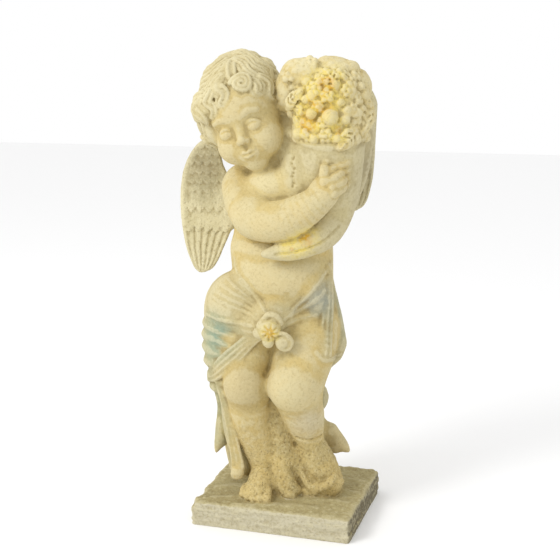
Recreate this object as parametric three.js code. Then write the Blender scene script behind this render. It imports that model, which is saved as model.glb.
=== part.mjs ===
// Garden statue of a small winged child holding a horn of fruit, cast in one piece with its plinth.
// Millimetres, +Z up, front of the plinth towards -Y, origin at the centre of the plinth's underside.
import * as THREE from 'three';

// Driving sizes of the casting.
const PLINTH_WIDTH = 210;
const PLINTH_DEPTH = 184;
const PLINTH_HEIGHT = 32;
const PLINTH_EDGE = 5;
const FIGURE_HEIGHT = 568;
const FIGURE_TURN = 16.9;

// The figure is laid out in hundredths of its own height: x to the viewer's right, y away from
// the viewer, z up from the top of the plinth. HEAD is the middle of the head, with its tilt.
const UNIT = FIGURE_HEIGHT / 100;
const HEAD = [-9.7, -2.2, 86.6];
const HEAD_TURN = [9, -20, -16];
const WING_THICKNESS = 1.25;
const HORN_MOUTH = 9.3;
const FRUIT_RADIUS = 2.0;

// The form is gathered on a lattice of this pitch and then reduced to so many flat faces.
const LATTICE_PITCH = 4.2;
const FACE_LIMIT = 9600;
const FAR = 1000;

// Rotation about x, then y, then z, in degrees.
function turning([a, b, c]) {
  const order = new THREE.Euler(...[a, b, c].map(THREE.MathUtils.degToRad), 'ZYX');
  return new THREE.Matrix4().makeRotationFromEuler(order);
}

// A place of its own for a group of forms: where it sits, how it is turned, how long its unit is.
class Place {
  constructor(origin, turn, unit, parent = null) {
    const own = new THREE.Matrix4().makeTranslation(...origin).multiply(turning(turn));
    own.scale(new THREE.Vector3(unit, unit, unit));
    this.matrix = parent ? parent.matrix.clone().multiply(own) : own;
    this.unit = parent ? parent.unit * unit : unit;
    this.rotation = turning(turn);
    if (parent) {
      this.rotation.premultiply(parent.rotation);
    }
  }

  point(p) {
    return new THREE.Vector3(...p).applyMatrix4(this.matrix);
  }

  direction(p) {
    return new THREE.Vector3(...p).applyMatrix4(this.rotation).normalize();
  }
}

// A lattice of distances to the surface, negative inside, into which forms are blended.
class Clay {
  constructor(low, high, pitch) {
    this.low = low;
    this.pitch = pitch;
    this.count = low.map((v, i) => Math.ceil((high[i] - v) / pitch) + 1);
    this.field = new Float32Array(this.count[0] * this.count[1] * this.count[2]).fill(FAR);
    this.nearest = new Float32Array(this.field.length).fill(FAR);
  }

  index(i, j, k) {
    return (i * this.count[1] + j) * this.count[2] + k;
  }

  // Calls visit(x, y, z, index) for every lattice point of a box.
  within(low, high, visit) {
    const first = low.map((v, i) => Math.max(0, Math.floor((v - this.low[i]) / this.pitch)));
    const last = high.map((v, i) => {
      return Math.min(this.count[i] - 1, Math.ceil((v - this.low[i]) / this.pitch));
    });
    for (let i = first[0]; i <= last[0]; i += 1) {
      for (let j = first[1]; j <= last[1]; j += 1) {
        for (let k = first[2]; k <= last[2]; k += 1) {
          const x = this.low[0] + i * this.pitch;
          const y = this.low[1] + j * this.pitch;
          const z = this.low[2] + k * this.pitch;
          visit(x, y, z, this.index(i, j, k));
        }
      }
    }
  }

  add(index, distance, blend) {
    const old = this.field[index];
    const share = Math.min(1, Math.max(0, 0.5 + (0.5 * (old - distance)) / blend));
    this.field[index] = old + (distance - old) * share - blend * share * (1 - share);
  }

  cut(index, distance, blend) {
    const old = this.field[index];
    const share = Math.min(1, Math.max(0, 0.5 - (0.5 * (old + distance)) / blend));
    this.field[index] = old + (-distance - old) * share + blend * share * (1 - share);
  }
}

// Works on the clay in one place: eggs, balls and ropes, added or cut away.
class Hand {
  constructor(clay, place, cutting = false) {
    this.clay = clay;
    this.place = place;
    this.cutting = cutting;
  }

  work(index, distance, blend) {
    if (this.cutting) {
      this.clay.cut(index, distance, blend);
    } else {
      this.clay.add(index, distance, blend);
    }
  }

  egg(centre, radii, turn = [0, 0, 0], blend = 1) {
    const c = this.place.point(centre);
    const m = turning(turn).premultiply(this.place.rotation).elements;
    const r = radii.map((v) => v * this.place.unit);
    const soft = blend * this.place.unit;
    const reach = [0, 1, 2].map((i) => {
      const half = Math.hypot(m[i] * r[0], m[4 + i] * r[1], m[8 + i] * r[2]);
      return half + soft + 2 * this.clay.pitch;
    });
    const low = [c.x - reach[0], c.y - reach[1], c.z - reach[2]];
    const high = [c.x + reach[0], c.y + reach[1], c.z + reach[2]];
    this.clay.within(low, high, (x, y, z, index) => {
      const dx = x - c.x;
      const dy = y - c.y;
      const dz = z - c.z;
      const u = (m[0] * dx + m[1] * dy + m[2] * dz) / r[0];
      const v = (m[4] * dx + m[5] * dy + m[6] * dz) / r[1];
      const w = (m[8] * dx + m[9] * dy + m[10] * dz) / r[2];
      const away = Math.sqrt(u * u + v * v + w * w);
      const slope = Math.sqrt((u / r[0]) ** 2 + (v / r[1]) ** 2 + (w / r[2]) ** 2) + 1e-6;
      this.work(index, (away * (away - 1)) / slope, soft);
    });
  }

  ball(centre, radius, blend = 1) {
    this.egg(centre, [radius, radius, radius], [0, 0, 0], blend);
  }

  // A round bar through the points. With flat it is thinner along that direction, by ratio.
  rope(points, radii, blend = 1, flat = null, ratio = 1) {
    const [path, sizes] = smoothed(points.map((p) => this.place.point(p)), radii);
    const r = sizes.map((v) => v * this.place.unit);
    const soft = blend * this.place.unit;
    const normal = flat ? this.place.direction(flat) : null;
    const nearest = this.clay.nearest;
    const touched = [];
    for (let s = 0; s < path.length - 1; s += 1) {
      const a = path[s];
      const d = path[s + 1].clone().sub(a);
      const length2 = Math.max(d.lengthSq(), 1e-9);
      const reach = Math.max(r[s], r[s + 1]) + soft + 2 * this.clay.pitch;
      const low = [0, 1, 2].map((i) => Math.min(0, d.getComponent(i)) + a.getComponent(i) - reach);
      const high = [0, 1, 2].map((i) => Math.max(0, d.getComponent(i)) + a.getComponent(i) + reach);
      this.clay.within(low, high, (x, y, z, index) => {
        let dx = x - a.x;
        let dy = y - a.y;
        let dz = z - a.z;
        const t = Math.min(1, Math.max(0, (dx * d.x + dy * d.y + dz * d.z) / length2));
        dx -= t * d.x;
        dy -= t * d.y;
        dz -= t * d.z;
        const radius = r[s] + (r[s + 1] - r[s]) * t;
        const away2 = dx * dx + dy * dy + dz * dz;
        let distance = Math.sqrt(away2) - radius;
        if (normal) {
          const off = dx * normal.x + dy * normal.y + dz * normal.z;
          const stretched2 = Math.max(away2 + (ratio * ratio - 1) * off * off, 1e-9);
          const slope = Math.sqrt((away2 + (ratio ** 4 - 1) * off * off) / stretched2);
          distance = (Math.sqrt(stretched2) - radius) / slope;
        }
        if (nearest[index] === FAR) {
          touched.push(index);
        }
        nearest[index] = Math.min(nearest[index], distance);
      });
    }
    for (const index of touched) {
      this.work(index, nearest[index], soft);
      nearest[index] = FAR;
    }
  }
}

// A smooth path through the points, with a radius at each step.
function smoothed(points, radii, steps = 4) {
  if (points.length < 3) {
    return [points, radii];
  }
  const path = new THREE.CatmullRomCurve3(points, false, 'catmullrom', 0.5);
  const last = points.length - 1;
  const places = [];
  const sizes = [];
  for (let i = 0; i <= last * steps; i += 1) {
    const t = i / steps;
    const before = Math.min(Math.floor(t), last - 1);
    places.push(path.getPoint(t / last));
    sizes.push(radii[before] + (radii[before + 1] - radii[before]) * (t - before));
  }
  return [places, sizes];
}

function between(a, b, t) {
  return a + (b - a) * t;
}

// Plinth: a rough slab with worn edges, a rounded back right corner and a stepped left edge.
function addPlinth(clay) {
  const half = [PLINTH_WIDTH / 2, PLINTH_DEPTH / 2, PLINTH_HEIGHT / 2];
  const reach = 3 * LATTICE_PITCH + PLINTH_EDGE;
  const low = [-half[0] - reach, -half[1] - reach, -reach];
  const high = [half[0] + reach, half[1] + reach, PLINTH_HEIGHT + reach];
  clay.within(low, high, (x, y, z, index) => {
    const worn = x > 0 && y > 0 ? 3 * PLINTH_EDGE : PLINTH_EDGE;
    const side = Math.hypot(
      Math.max(Math.abs(x) - half[0] + worn, 0),
      Math.max(Math.abs(y) - half[1] + worn, 0),
    ) - worn;
    const inner = Math.max(Math.abs(x) - half[0], Math.abs(y) - half[1]);
    const wall = inner < -worn ? inner : side;
    const up = z - PLINTH_HEIGHT;
    const rim = Math.hypot(Math.max(wall + PLINTH_EDGE, 0), Math.max(up + PLINTH_EDGE, 0));
    const top = Math.min(Math.max(wall, up) + PLINTH_EDGE, 0) + rim - PLINTH_EDGE;
    clay.add(index, Math.max(top, -z), 0.01);
  });
  const ground = new Place([0, 0, 0], [0, 0, 0], 1);
  const ridges = new Hand(clay, ground);
  const left = -half[0];
  const front = -half[1];
  for (const [x, y, length] of [[-40, -62, 60], [30, -66, 46], [62, -30, 40], [-62, -20, 34]]) {
    const ends = [[x - length / 2, y - 4, PLINTH_HEIGHT - 5], [x + length / 2, y + 4, PLINTH_HEIGHT - 5]];
    ridges.rope(ends, [7, 6], 6);
  }
  const chips = new Hand(clay, ground, true);
  chips.egg([left - 3, front + 34, PLINTH_HEIGHT], [9, 16, 13], [0, 0, 0], 3);
  chips.egg([left - 2, front + 3, PLINTH_HEIGHT + 2], [9, 11, 12], [0, 0, 0], 3);
  chips.egg([half[0] + 1, 20, PLINTH_HEIGHT + 3], [6, 26, 9], [0, 0, 0], 3);
  chips.egg([half[0] - 20, front - 3, PLINTH_HEIGHT + 3], [16, 6, 8], [0, 0, 0], 3);
}

function addLegs(hand) {
  // The child's right leg, at the viewer's left, carries the weight.
  hand.rope([[-9, 0, 38], [-10.3, -3.2, 31], [-10.8, -5.6, 26]], [7.2, 6.3, 5.2], 1.5);
  hand.rope([[-10.4, -5.6, 25.2], [-8.8, -3.6, 17.5], [-6.4, -3.2, 10], [-5.2, -3, 5.6]],
    [4.9, 5, 4, 3.2], 1.2);
  hand.ball([-10.8, -6.9, 25.4], 4.3, 1.5);
  // The left leg is bent, its knee in front of the other.
  hand.rope([[4, -0.5, 38], [3, -5, 32], [1.5, -8, 27]], [7.4, 6.9, 5.9], 1.5);
  hand.ball([0.2, -8.7, 26.2], 5.3, 1.5);
  hand.rope([[1.6, -8, 25.5], [3.2, -6, 19], [4.6, -4.6, 12.6]], [5.6, 5, 2.9], 1);
  // Rough bundle that falls over the left ankle and foot.
  hand.rope([[4.8, -4.4, 11.8], [6, -4, 7], [6.8, -3.8, 2.5]], [3.1, 4.6, 5.6], 0.8);
  hand.rope([[1.4, -7.6, 6], [3, -10, 2.2], [5.4, -11.6, 1], [8.2, -10.6, 1.8]], [0.9, 1, 1.1, 0.9], 0.5);
}

function addFeet(hand) {
  hand.rope([[-4.8, -0.6, 2.6], [-6, -4.4, 3.4], [-7.2, -8, 2.1]], [3, 3.2, 2.3], 1);
  hand.egg([-7.4, -8, 1.5], [3.9, 3.9, 1.7], [0, 0, 12], 1);
  for (let toe = 0; toe < 5; toe += 1) {
    const size = between(1.35, 0.85, toe / 4);
    hand.ball([-5 - 1.45 * toe, -11.6 + 0.24 * toe * toe, 1.2], size, 0.3);
  }
  hand.rope([[7.2, -5.5, 3.2], [9.8, -8, 2.4]], [3, 2], 0.8);
  for (let toe = 0; toe < 4; toe += 1) {
    hand.ball([9.4 + 0.8 * toe, -10.2 + 0.95 * toe, 1.9 + 0.3 * toe], 0.95, 0.3);
  }
  // Stony ground under and between the feet.
  hand.egg([-1, 0, -1.2], [15, 12, 2.1], [0, 0, 0], 1.5);
  hand.egg([0, -6.6, 1], [2.6, 3.4, 4], [8, 0, 0], 1);
  hand.egg([-1.2, -3.6, 4.4], [3.2, 3, 7], [0, 6, 0], 1.2);
}

function addTorso(hand) {
  hand.egg([-1.6, 0.9, 64.5], [11.2, 7.6, 9.4], [0, 0, 0], 2);
  hand.egg([-1.7, 0, 56], [11.5, 7.9, 8.5], [0, 0, 0], 2.5);
  hand.egg([-1.4, -1.7, 50.6], [11.2, 8.9, 8.6], [0, 0, 0], 2.5);
  hand.egg([-3.4, 0.2, 42], [12.6, 8.7, 8.8], [0, -5, 0], 2.5);
  // Shoulders, chest, shoulder blades and seat.
  hand.rope([[-9.6, 0.6, 70.3], [-2.5, 0.6, 72], [7.6, 1.2, 70.3]], [4.9, 4.4, 4.6], 2);
  for (const side of [-1, 1]) {
    hand.egg([-1.4 + 4.4 * side, -5, 67.2], [4.4, 2.8, 3.6], [0, 0, 0], 2);
    hand.egg([-1.2 + 5 * side, 6, 66.5], [4, 2.6, 5.4], [0, 8 * side, 0], 2);
    hand.egg([-2.8 + 6.2 * side, 5.2, 39], [6.6, 5.6, 7], [0, 0, 0], 2);
  }
  // Neck, short and soft, and the roll of flesh round the middle.
  hand.rope([[-2.8, 0.8, 71], [-5.2, -0.6, 78]], [5.2, 5], 2);
  hand.egg([-1.5, -3.4, 57], [9.8, 5.6, 3], [0, 0, 0], 1.5);
}

function addArms(hand) {
  // The right arm comes across the chest to the horn, the left one is behind the horn.
  hand.rope([[-10, -0.6, 69.6], [-9.2, -5, 66.3], [-6.4, -9, 63.7], [-1.6, -10.9, 63.8], [3.4, -12.2, 66.4],
    [7.2, -12.9, 69.4]], [5, 4.7, 4.5, 4.4, 3.7, 2.9], 1.2);
  hand.ball([-7.6, -7.6, 64.2], 4.4, 1.5);
  hand.rope([[8, 1.6, 69.4], [8.8, 2.2, 65], [8.6, 0.8, 61.4]], [4.5, 4, 3.6], 1.2);
  hand.rope([[8.6, 0.6, 61.6], [10, 0.4, 66], [11.2, 0, 71]], [3.6, 3.3, 2.7], 1.2);
  hand.egg([11.8, -0.3, 73.6], [2.4, 1.7, 3], [0, 10, 0], 0.8);
}

function addHand(hand) {
  hand.egg([9.3, -13, 71.3], [3.3, 2.3, 3.3], [0, 30, 0], 1);
  for (let finger = 0; finger < 4; finger += 1) {
    const low = finger / 3;
    const root = [between(9.2, 10.6, low), -13.9, between(74, 69.6, low)];
    const bend = [between(11.2, 12.4, low), -14, between(75.8, 71, low)];
    const tip = [between(12.9, 13.6, low), -12, between(76.8, 71.8, low)];
    hand.rope([root, bend, tip], [1.3, 1.2, 0.95], 0.25);
  }
  hand.rope([[7.4, -13.4, 72], [7.4, -13.9, 74.6], [8.2, -13.5, 76.6]], [1.4, 1.25, 1], 0.4);
}

// Head and face, in the place of the head: a calm child's face on common proportions.
function addHead(hand) {
  hand.egg([0, 1, 2.6], [8.6, 9.8, 9.2], [0, 0, 0], 1);
  hand.egg([0, -2.6, -4], [7.6, 6.6, 8], [0, 0, 0], 2.5);
  hand.egg([0, -5.4, -9.8], [2.8, 2.5, 2.4], [0, 0, 0], 1.8);
  for (const side of [-1, 1]) {
    hand.egg([4.1 * side, -4.9, -6], [3.7, 3.4, 3.7], [0, 0, 0], 1.8);
    hand.egg([3.3 * side, -7.7, -1.2], [2.7, 1.3, 1], [0, 8 * side, 0], 1.2);
    hand.egg([8.2 * side, 0.6, -3.4], [1, 1.9, 2.7], [10, 0, 0], 0.8);
  }
  hand.rope([[0, -8.3, -1.6], [0, -9.4, -3.9], [0, -10.2, -5]], [0.8, 0.9, 1.15], 0.8);
  for (const side of [-1, 1]) {
    hand.ball([1.05 * side, -9.1, -5.3], 0.85, 0.5);
  }
  hand.egg([0, -8.5, -7.5], [1.9, 1.3, 0.75], [0, 0, 0], 0.6);
  hand.egg([0, -8.3, -8.6], [1.6, 1.2, 0.8], [0, 0, 0], 0.6);
}

function cutFace(hand) {
  for (const side of [-1, 1]) {
    hand.egg([3.2 * side, -9.3, -3], [1.9, 1.5, 1.1], [0, 6 * side, 0], 0.8);
  }
  hand.rope([[-1.6, -9.7, -8.0], [0, -10, -8.1], [1.6, -9.7, -8.0]], [0.3, 0.4, 0.3], 0.3);
}

function addEyes(hand) {
  for (const side of [-1, 1]) {
    hand.egg([3.1 * side, -6.9, -3], [1.7, 1.5, 1.15], [0, 0, 0], 0.3);
  }
}

// Point on the hair cap, from the angle round the head and the angle up from its middle.
function onCap(round, up, out) {
  const a = THREE.MathUtils.degToRad(round);
  const e = THREE.MathUtils.degToRad(up);
  return [
    Math.sin(a) * Math.cos(e) * (8.7 + out),
    1.4 - Math.cos(a) * Math.cos(e) * (9.4 + out),
    2.6 + Math.sin(e) * (9.2 + out),
  ];
}

// One thick lock that winds in on itself.
function addCurl(hand, round, up, size, spin, thick) {
  const centre = new THREE.Vector3(...onCap(round, up, 0.2));
  const out = new THREE.Vector3(...onCap(round, up, 1)).sub(centre).normalize();
  const side = new THREE.Vector3(0, 0, 1).cross(out).normalize();
  const rise = out.clone().cross(side);
  const path = [];
  const radii = [];
  for (let i = 0; i <= 6; i += 1) {
    const a = THREE.MathUtils.degToRad(spin + i * 62 * Math.sign(thick));
    const far = size * between(1, 0.15, i / 6);
    const p = centre.clone()
      .addScaledVector(side, Math.cos(a) * far)
      .addScaledVector(rise, Math.sin(a) * far)
      .addScaledVector(out, between(-0.6, 0.6, i / 6));
    path.push([p.x, p.y, p.z]);
    radii.push(Math.abs(thick) * between(1.1, 0.8, i / 6));
  }
  hand.rope(path, radii, 0.3);
}

function addHair(hand) {
  hand.egg([0, 2.4, 3], [8.5, 9.2, 9.2], [0, 0, 0], 1);
  // Rows round the head, each with its height, number of curls, reach to both sides and size.
  const rows = [
    [27, 5, 52, 3.5],
    [60, 6, 130, 3.5],
  ];
  for (const [up, count, reach, size] of rows) {
    for (let i = 0; i < count; i += 1) {
      const round = between(-reach, reach, i / (count - 1));
      addCurl(hand, round, up, size, (i % 2) * 140 + up, i % 2 ? 1.35 : -1.35);
    }
  }
  addCurl(hand, 0, 88, 3, 20, 1.35);
  for (const side of [-1, 1]) {
    for (const [round, up, size] of [[74, 6, 3], [84, -18, 2.6], [102, 18, 3.2], [108, -12, 2.9]]) {
      addCurl(hand, round * side, up, size, round + up, side * 1.25);
    }
  }
  for (let row = 0; row < 4; row += 1) {
    for (let i = 0; i < 5 - (row % 2); i += 1) {
      const round = between(126, 234, (i + (row % 2) / 2) / 4);
      addCurl(hand, round, -28 + 24 * row, 3.2, 50 * i, row % 2 ? 1.3 : -1.3);
    }
  }
}

// The horn: a swelling body held upright, bent under the wrist and drawn out to a point.
function addHorn(hand) {
  const path = [[8.4, -5.2, 83], [8.2, -5.8, 78], [8.4, -5.8, 72], [9, -6.2, 65.6], [7.4, -8.4, 61],
    [3.6, -10.4, 58.8], [0, -11.3, 57.6], [-3, -11.8, 57], [-5.4, -12, 56.8]];
  const radii = [HORN_MOUTH - 1.2, 7.9, 7.1, 5, 3.7, 3, 2.4, 1.6, 0.8];
  hand.rope(path, radii, 0.8, [0, 1, 0], 1.15);
  // Stone left between the horn, the cheek and the shoulder.
  hand.egg([1.6, -1.4, 77], [4.2, 4, 6.4], [0, 0, 0], 1.2);
  // Rim of the mouth, lower in front, and a band round the horn below it.
  for (const [drop, radius, thick] of [[0, HORN_MOUTH - 0.6, 0.8], [2.6, HORN_MOUTH - 1.3, 0.55]]) {
    const ring = [];
    for (let i = 0; i <= 24; i += 1) {
      const a = (i * Math.PI) / 12;
      ring.push([
        8.4 + radius * Math.sin(a),
        -5.7 - radius * 0.8 * Math.cos(a),
        83.4 - drop - 3.6 * Math.cos(a),
      ]);
    }
    hand.rope(ring, ring.map(() => thick), 0.4);
  }
}

// Fruit heaped in the mouth of the horn: some large, the rest spread evenly over the heap.
function addFruit(hand) {
  const heap = [8.3, -6, 88];
  const half = [8.2, 6.6, 8.4];
  hand.egg(heap, half, [0, 0, 0], 1);
  const large = [
    [8.4, -13, 85.6, 1.15], [2.2, -11.2, 81.9, 0.85], [12.4, -10, 94, 1.15], [16.2, -3, 94.2, 1.1],
    [15.4, -8.4, 91, 1], [8.2, -7, 96.8, 1.2], [13.6, -5, 96.4, 1.2], [5, -12, 90.2, 1],
  ];
  for (const [x, y, z, size] of large) {
    hand.ball([x, y, z], size * FRUIT_RADIUS, 0.35);
  }
  hand.egg([2.8, -7.4, 95.4], [3.8, 2.8, 3], [0, 20, 0], 0.4);
  const count = 56;
  for (let i = 0; i < count; i += 1) {
    const z = between(0.97, -0.8, i / (count - 1));
    const a = i * 2.39996;
    const flat = Math.sqrt(1 - z * z);
    const p = [heap[0] + half[0] * flat * Math.sin(a), heap[1] - half[1] * flat * Math.cos(a), heap[2] + half[2] * z];
    hand.ball(p, FRUIT_RADIUS * between(0.62, 0.9, (i % 5) / 4), 0.3);
  }
  // Leaves: a broad one at the right, one hanging over the rim.
  hand.rope([[13.4, -10.8, 83.6], [15.4, -9.8, 87], [15.8, -8.6, 90]], [1.4, 2.6, 1.4], 0.4, [0.5, -1, 0.1], 2.6);
  hand.rope([[9.4, -13.2, 83.4], [12.4, -12.4, 80.8], [14.8, -10.8, 78.2]], [1, 2.3, 0.8], 0.4, [0.5, -1, 0.1], 2.4);
}

// A wing: long feathers in a fan, three rows of short ones and a thick front edge.
// at(u, v, out) gives a point, u from the body outwards and v from the tip up, both 0 to 1.
function addWing(hand, at, normal) {
  const ratio = 2.2;
  const wide = WING_THICKNESS * ratio;
  const [low, high, half] = [at(0.5, 0, 0)[2], at(0.5, 1, 0)[2], Math.abs(at(1, 0.5, 0)[0] - at(0.5, 0.5, 0)[0])];
  const tall = high - low;
  const turn = [0, 0, THREE.MathUtils.radToDeg(Math.atan2(normal[0], -normal[1]))];
  hand.egg(at(0.5, 0.72, 0.3), [half + 0.6, WING_THICKNESS, 0.31 * tall], turn, 0.5);
  hand.egg(at(0.5, 0.4, 0.3), [half + 0.3, WING_THICKNESS * 0.9, 0.41 * tall], turn, 0.5);
  for (let i = 0; i < 7; i += 1) {
    const u = i / 6;
    const tip = 0.24 * (1 - Math.sin((Math.PI / 2) * Math.min(1, u * 1.25)));
    const root = at(between(0.2, 0.8, u), 0.72, 0.2);
    const middle = at(between(0.02, 0.94, u), between(0.5, 0.4, u), 0.1 + 0.3 * (i % 2));
    const end = at(between(0, 0.9, u), tip + 0.05, 0.1 + 0.3 * (i % 2));
    hand.rope([root, middle, end], [wide * 0.7, wide * 0.66, wide * 0.42], 0.3, normal, ratio);
  }
  for (const [row, count, v] of [[0, 5, 0.48], [1, 4, 0.62], [2, 3, 0.75]]) {
    for (let i = 0; i < count; i += 1) {
      const u = between(0.24, 0.76, i / (count - 1));
      const high = at(u, v + 0.1, -0.4 - 0.3 * row);
      const low = at(u, v - 0.02, -0.7 - 0.3 * row);
      hand.rope([high, low], [wide * 0.8, wide * 0.75], 0.25, normal, ratio);
    }
  }
  const edge = [];
  for (let i = 0; i <= 8; i += 1) {
    const t = i / 8;
    edge.push(at(Math.min(1, t * 1.6), between(0.98, 0.08, t ** 1.3), -0.3));
  }
  hand.rope(edge, edge.map((_, i) => between(1.7, 0.9, i / 8)), 0.5);
}

// The outline both wings share, narrow at the tip and rounded at the top.
function wingOutline(middle, half, low, high, side) {
  return (u, v, out) => {
    const width = half * Math.sin(Math.PI * between(0.02, 0.96, v)) ** 0.55;
    const x = middle + side * (0.9 * (2 * u - 1) * width + 1.4 * (1 - v) ** 2);
    return [x, 7.2 + 0.16 * (Math.abs(x) - 13) + out, between(low, high, v)];
  };
}

function addWings(hand) {
  addWing(hand, wingOutline(-19.6, 4.6, 49.4, 79.2, -1), [-0.16, -1, 0]);
  addWing(hand, wingOutline(14.4, 4.9, 63.6, 93.4, 1), [0.16, -1, 0]);
  // Roots, where the wings grow from the shoulder blades.
  const roots = [
    [[-16.4, 7.4, 67.6], [-10, 6.6, 66.4], [-4.5, 5.4, 66]],
    [[-16, 7.4, 63], [-10, 6.4, 63], [-4.5, 5, 63.5]],
    [[12.6, 7.4, 78], [8.6, 6.8, 71], [3.6, 5.6, 66]],
    [[12.6, 7.2, 70], [8.6, 6.6, 67], [3.6, 5, 64]],
  ];
  for (const path of roots) {
    hand.rope(path, [4, 3.6, 2.8], 1.2, [0, -1, 0], 1.6);
  }
}

// The cloth: wound round the hips, knotted in front and hanging behind the legs to the ground.
function addCloth(hand) {
  hand.egg([-11, 0.2, 42.6], [8.2, 8.2, 8.4], [0, 0, 0], 1.5);
  hand.egg([-11.4, -4, 44.6], [6, 5.4, 6.6], [0, -30, 0], 1.5);
  hand.rope([[-12.6, 0.6, 40], [-13.2, 0.8, 33], [-12.6, 1.4, 26]], [6.4, 6.2, 5.2], 1.5);
  hand.rope([[5.6, 2, 46], [7, 3, 38], [8.4, 3.4, 32.8]], [4.8, 5, 4.4], 1.5);
  // Back sheet in folds, from one side to the other, drawn in below the knees at the right.
  const folds = 6;
  for (let i = 0; i < folds; i += 1) {
    const t = i / (folds - 1);
    const x = between(-13.8, 7, t);
    const y = 5.4 + 1.8 * Math.sin(Math.PI * t);
    const path = [[x, y, 40], [x - 3 * t, y + 0.4, 24], [x - 3 * t, y, 16], [between(-14.4, 10.6, t), y - 0.4, 3]];
    hand.rope(path, [4.4, 3.2, 2.8, 3.2], 0.8);
  }
  // Falling edges at both sides.
  hand.rope([[-15, 1.6, 25], [-14.2, 1.8, 19], [-14.6, 2, 12], [-14.6, 1.8, 7]], [3, 1.8, 2.2, 2.4], 0.8);
  hand.rope([[-14.6, -2.6, 25], [-13, -3.4, 18], [-11.8, -3.6, 11], [-10.8, -4, 5.4], [-11.4, -5.2, 1.8]],
    [1.4, 1.2, 1.1, 1.3, 1.5], 0.5);
  hand.rope([[9.2, 3.4, 31.4], [4.6, 3.2, 25], [6.6, 3, 20.4], [4.8, 3, 16.6], [8, 3.2, 11.4], [12, 3.6, 7]],
    [3.4, 2.4, 2.7, 2.4, 2.4, 2.4], 0.8);
  // Folds drawn from the left hip to the knot.
  const knot = [-4.6, -11.6, 41.4];
  const starts = [[-12.4, -5.6, 51.2], [-14.4, -6, 48.8], [-16.2, -5.4, 46], [-17, -5, 43], [-16.8, -5, 40]];
  for (const start of starts) {
    const middle = [between(start[0], knot[0], 0.5) - 0.6, -11, between(start[2], knot[2], 0.55)];
    hand.rope([start, middle, knot], [1.3, 1.35, 0.9], 0.25);
  }
  // Two bands from the knot down round the thigh.
  hand.rope([[-6, -10.8, 39.2], [-11, -10.6, 36], [-15.6, -7, 32], [-17.2, -1.6, 29]], [1, 1.3, 1.4, 1.2], 0.4);
  hand.rope([[-6, -11, 37.4], [-11, -11, 33.4], [-15.4, -7.8, 29], [-16.6, -2.4, 26]], [1, 1.2, 1.3, 1.2], 0.4);
  // Edge over the right hip, and the band that hangs beside the left thigh.
  hand.rope([[-2.4, -10.6, 41.4], [2.4, -9.8, 44.6], [6.2, -7.2, 49.4], [8.4, -3, 54]], [1.2, 1, 0.95, 0.8], 0.5);
  hand.rope([[8.6, -1.6, 54.6], [8.4, -3.4, 46], [8.2, -4.6, 38], [7.6, -5, 32.4]], [1.3, 1.3, 1.5, 1.3], 0.5);
}

function addKnot(hand) {
  hand.egg([-4.2, -11.2, 40], [2.7, 1.8, 2.6], [0, 0, 0], 0.5);
  hand.ball([-2.6, -12.2, 42.6], 1.25, 0.3);
  const petals = [[10, 2.6], [75, 2.3], [-50, 3.2], [-110, 2.4], [165, 2.6]];
  for (const [angle, length] of petals) {
    const a = THREE.MathUtils.degToRad(angle);
    const end = [-4 + (length + 1) * Math.cos(a), -11.2, 39.6 + (length + 1) * Math.sin(a)];
    hand.rope([[-4, -12, 39.6], end], [0.9, 1.5], 0.3, [0, -1, 0], 1.5);
  }
}

function sculpt() {
  const margin = 24;
  const side = PLINTH_WIDTH / 2 + margin + 0.09 * FIGURE_HEIGHT;
  const high = [side, side, PLINTH_HEIGHT + 1.05 * FIGURE_HEIGHT];
  const clay = new Clay([-side, -side, -1.5 * LATTICE_PITCH], high, LATTICE_PITCH);
  const figure = new Place([0, 0, PLINTH_HEIGHT], [0, 0, FIGURE_TURN], UNIT);
  const head = new Place(HEAD, HEAD_TURN, 1, figure);
  addPlinth(clay);
  const hand = new Hand(clay, figure);
  addLegs(hand);
  addTorso(hand);
  addCloth(hand);
  addFeet(hand);
  addKnot(hand);
  addWings(hand);
  addHorn(hand);
  addFruit(hand);
  addArms(hand);
  addHead(new Hand(clay, head));
  cutFace(new Hand(clay, head, true));
  addEyes(new Hand(clay, head));
  addHair(new Hand(clay, head));
  addHand(hand);
  clay.within([-side, -side, -FAR], [side, side, FAR], (x, y, z, index) => {
    clay.field[index] = Math.max(clay.field[index], -z);
  });
  return clay;
}

// The surface of the clay: every cell is split into six wedges round its diagonal.
function surface(clay) {
  const steps = [[0, 0, 0], [1, 0, 0], [1, 1, 0], [1, 1, 1], [0, 1, 0], [0, 1, 1], [0, 0, 1], [1, 0, 1]];
  const wedges = [[0, 1, 2, 3], [0, 2, 4, 3], [0, 4, 5, 3], [0, 5, 6, 3], [0, 6, 7, 3], [0, 7, 1, 3]];
  const [nx, ny, nz] = clay.count;
  const least = 0.02 * clay.pitch;
  const value = (index) => {
    const v = clay.field[index];
    return Math.abs(v) < least ? (v < 0 ? -least : least) : v;
  };
  const points = [];
  const faces = [];
  const known = new Map();
  const corner = (a, b) => {
    const key = a.index < b.index ? a.index * 16777216 + b.index : b.index * 16777216 + a.index;
    if (!known.has(key)) {
      const t = Math.min(0.97, Math.max(0.03, a.value / (a.value - b.value)));
      known.set(key, points.length);
      points.push(a.at.map((v, i) => clay.low[i] + (v + (b.at[i] - v) * t) * clay.pitch));
    }
    return known.get(key);
  };
  for (let i = 0; i < nx - 1; i += 1) {
    for (let j = 0; j < ny - 1; j += 1) {
      for (let k = 0; k < nz - 1; k += 1) {
        let inside = 0;
        for (const s of steps) {
          inside += clay.field[clay.index(i + s[0], j + s[1], k + s[2])] < 0 ? 1 : 0;
        }
        if (inside === 0 || inside === 8) {
          continue;
        }
        const cell = steps.map((s) => {
          const at = [i + s[0], j + s[1], k + s[2]];
          const index = clay.index(...at);
          return { at, index, value: value(index) };
        });
        for (const wedge of wedges) {
          facet(wedge.map((w) => cell[w]), corner, faces);
        }
      }
    }
  }
  return { points, faces };
}

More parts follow.
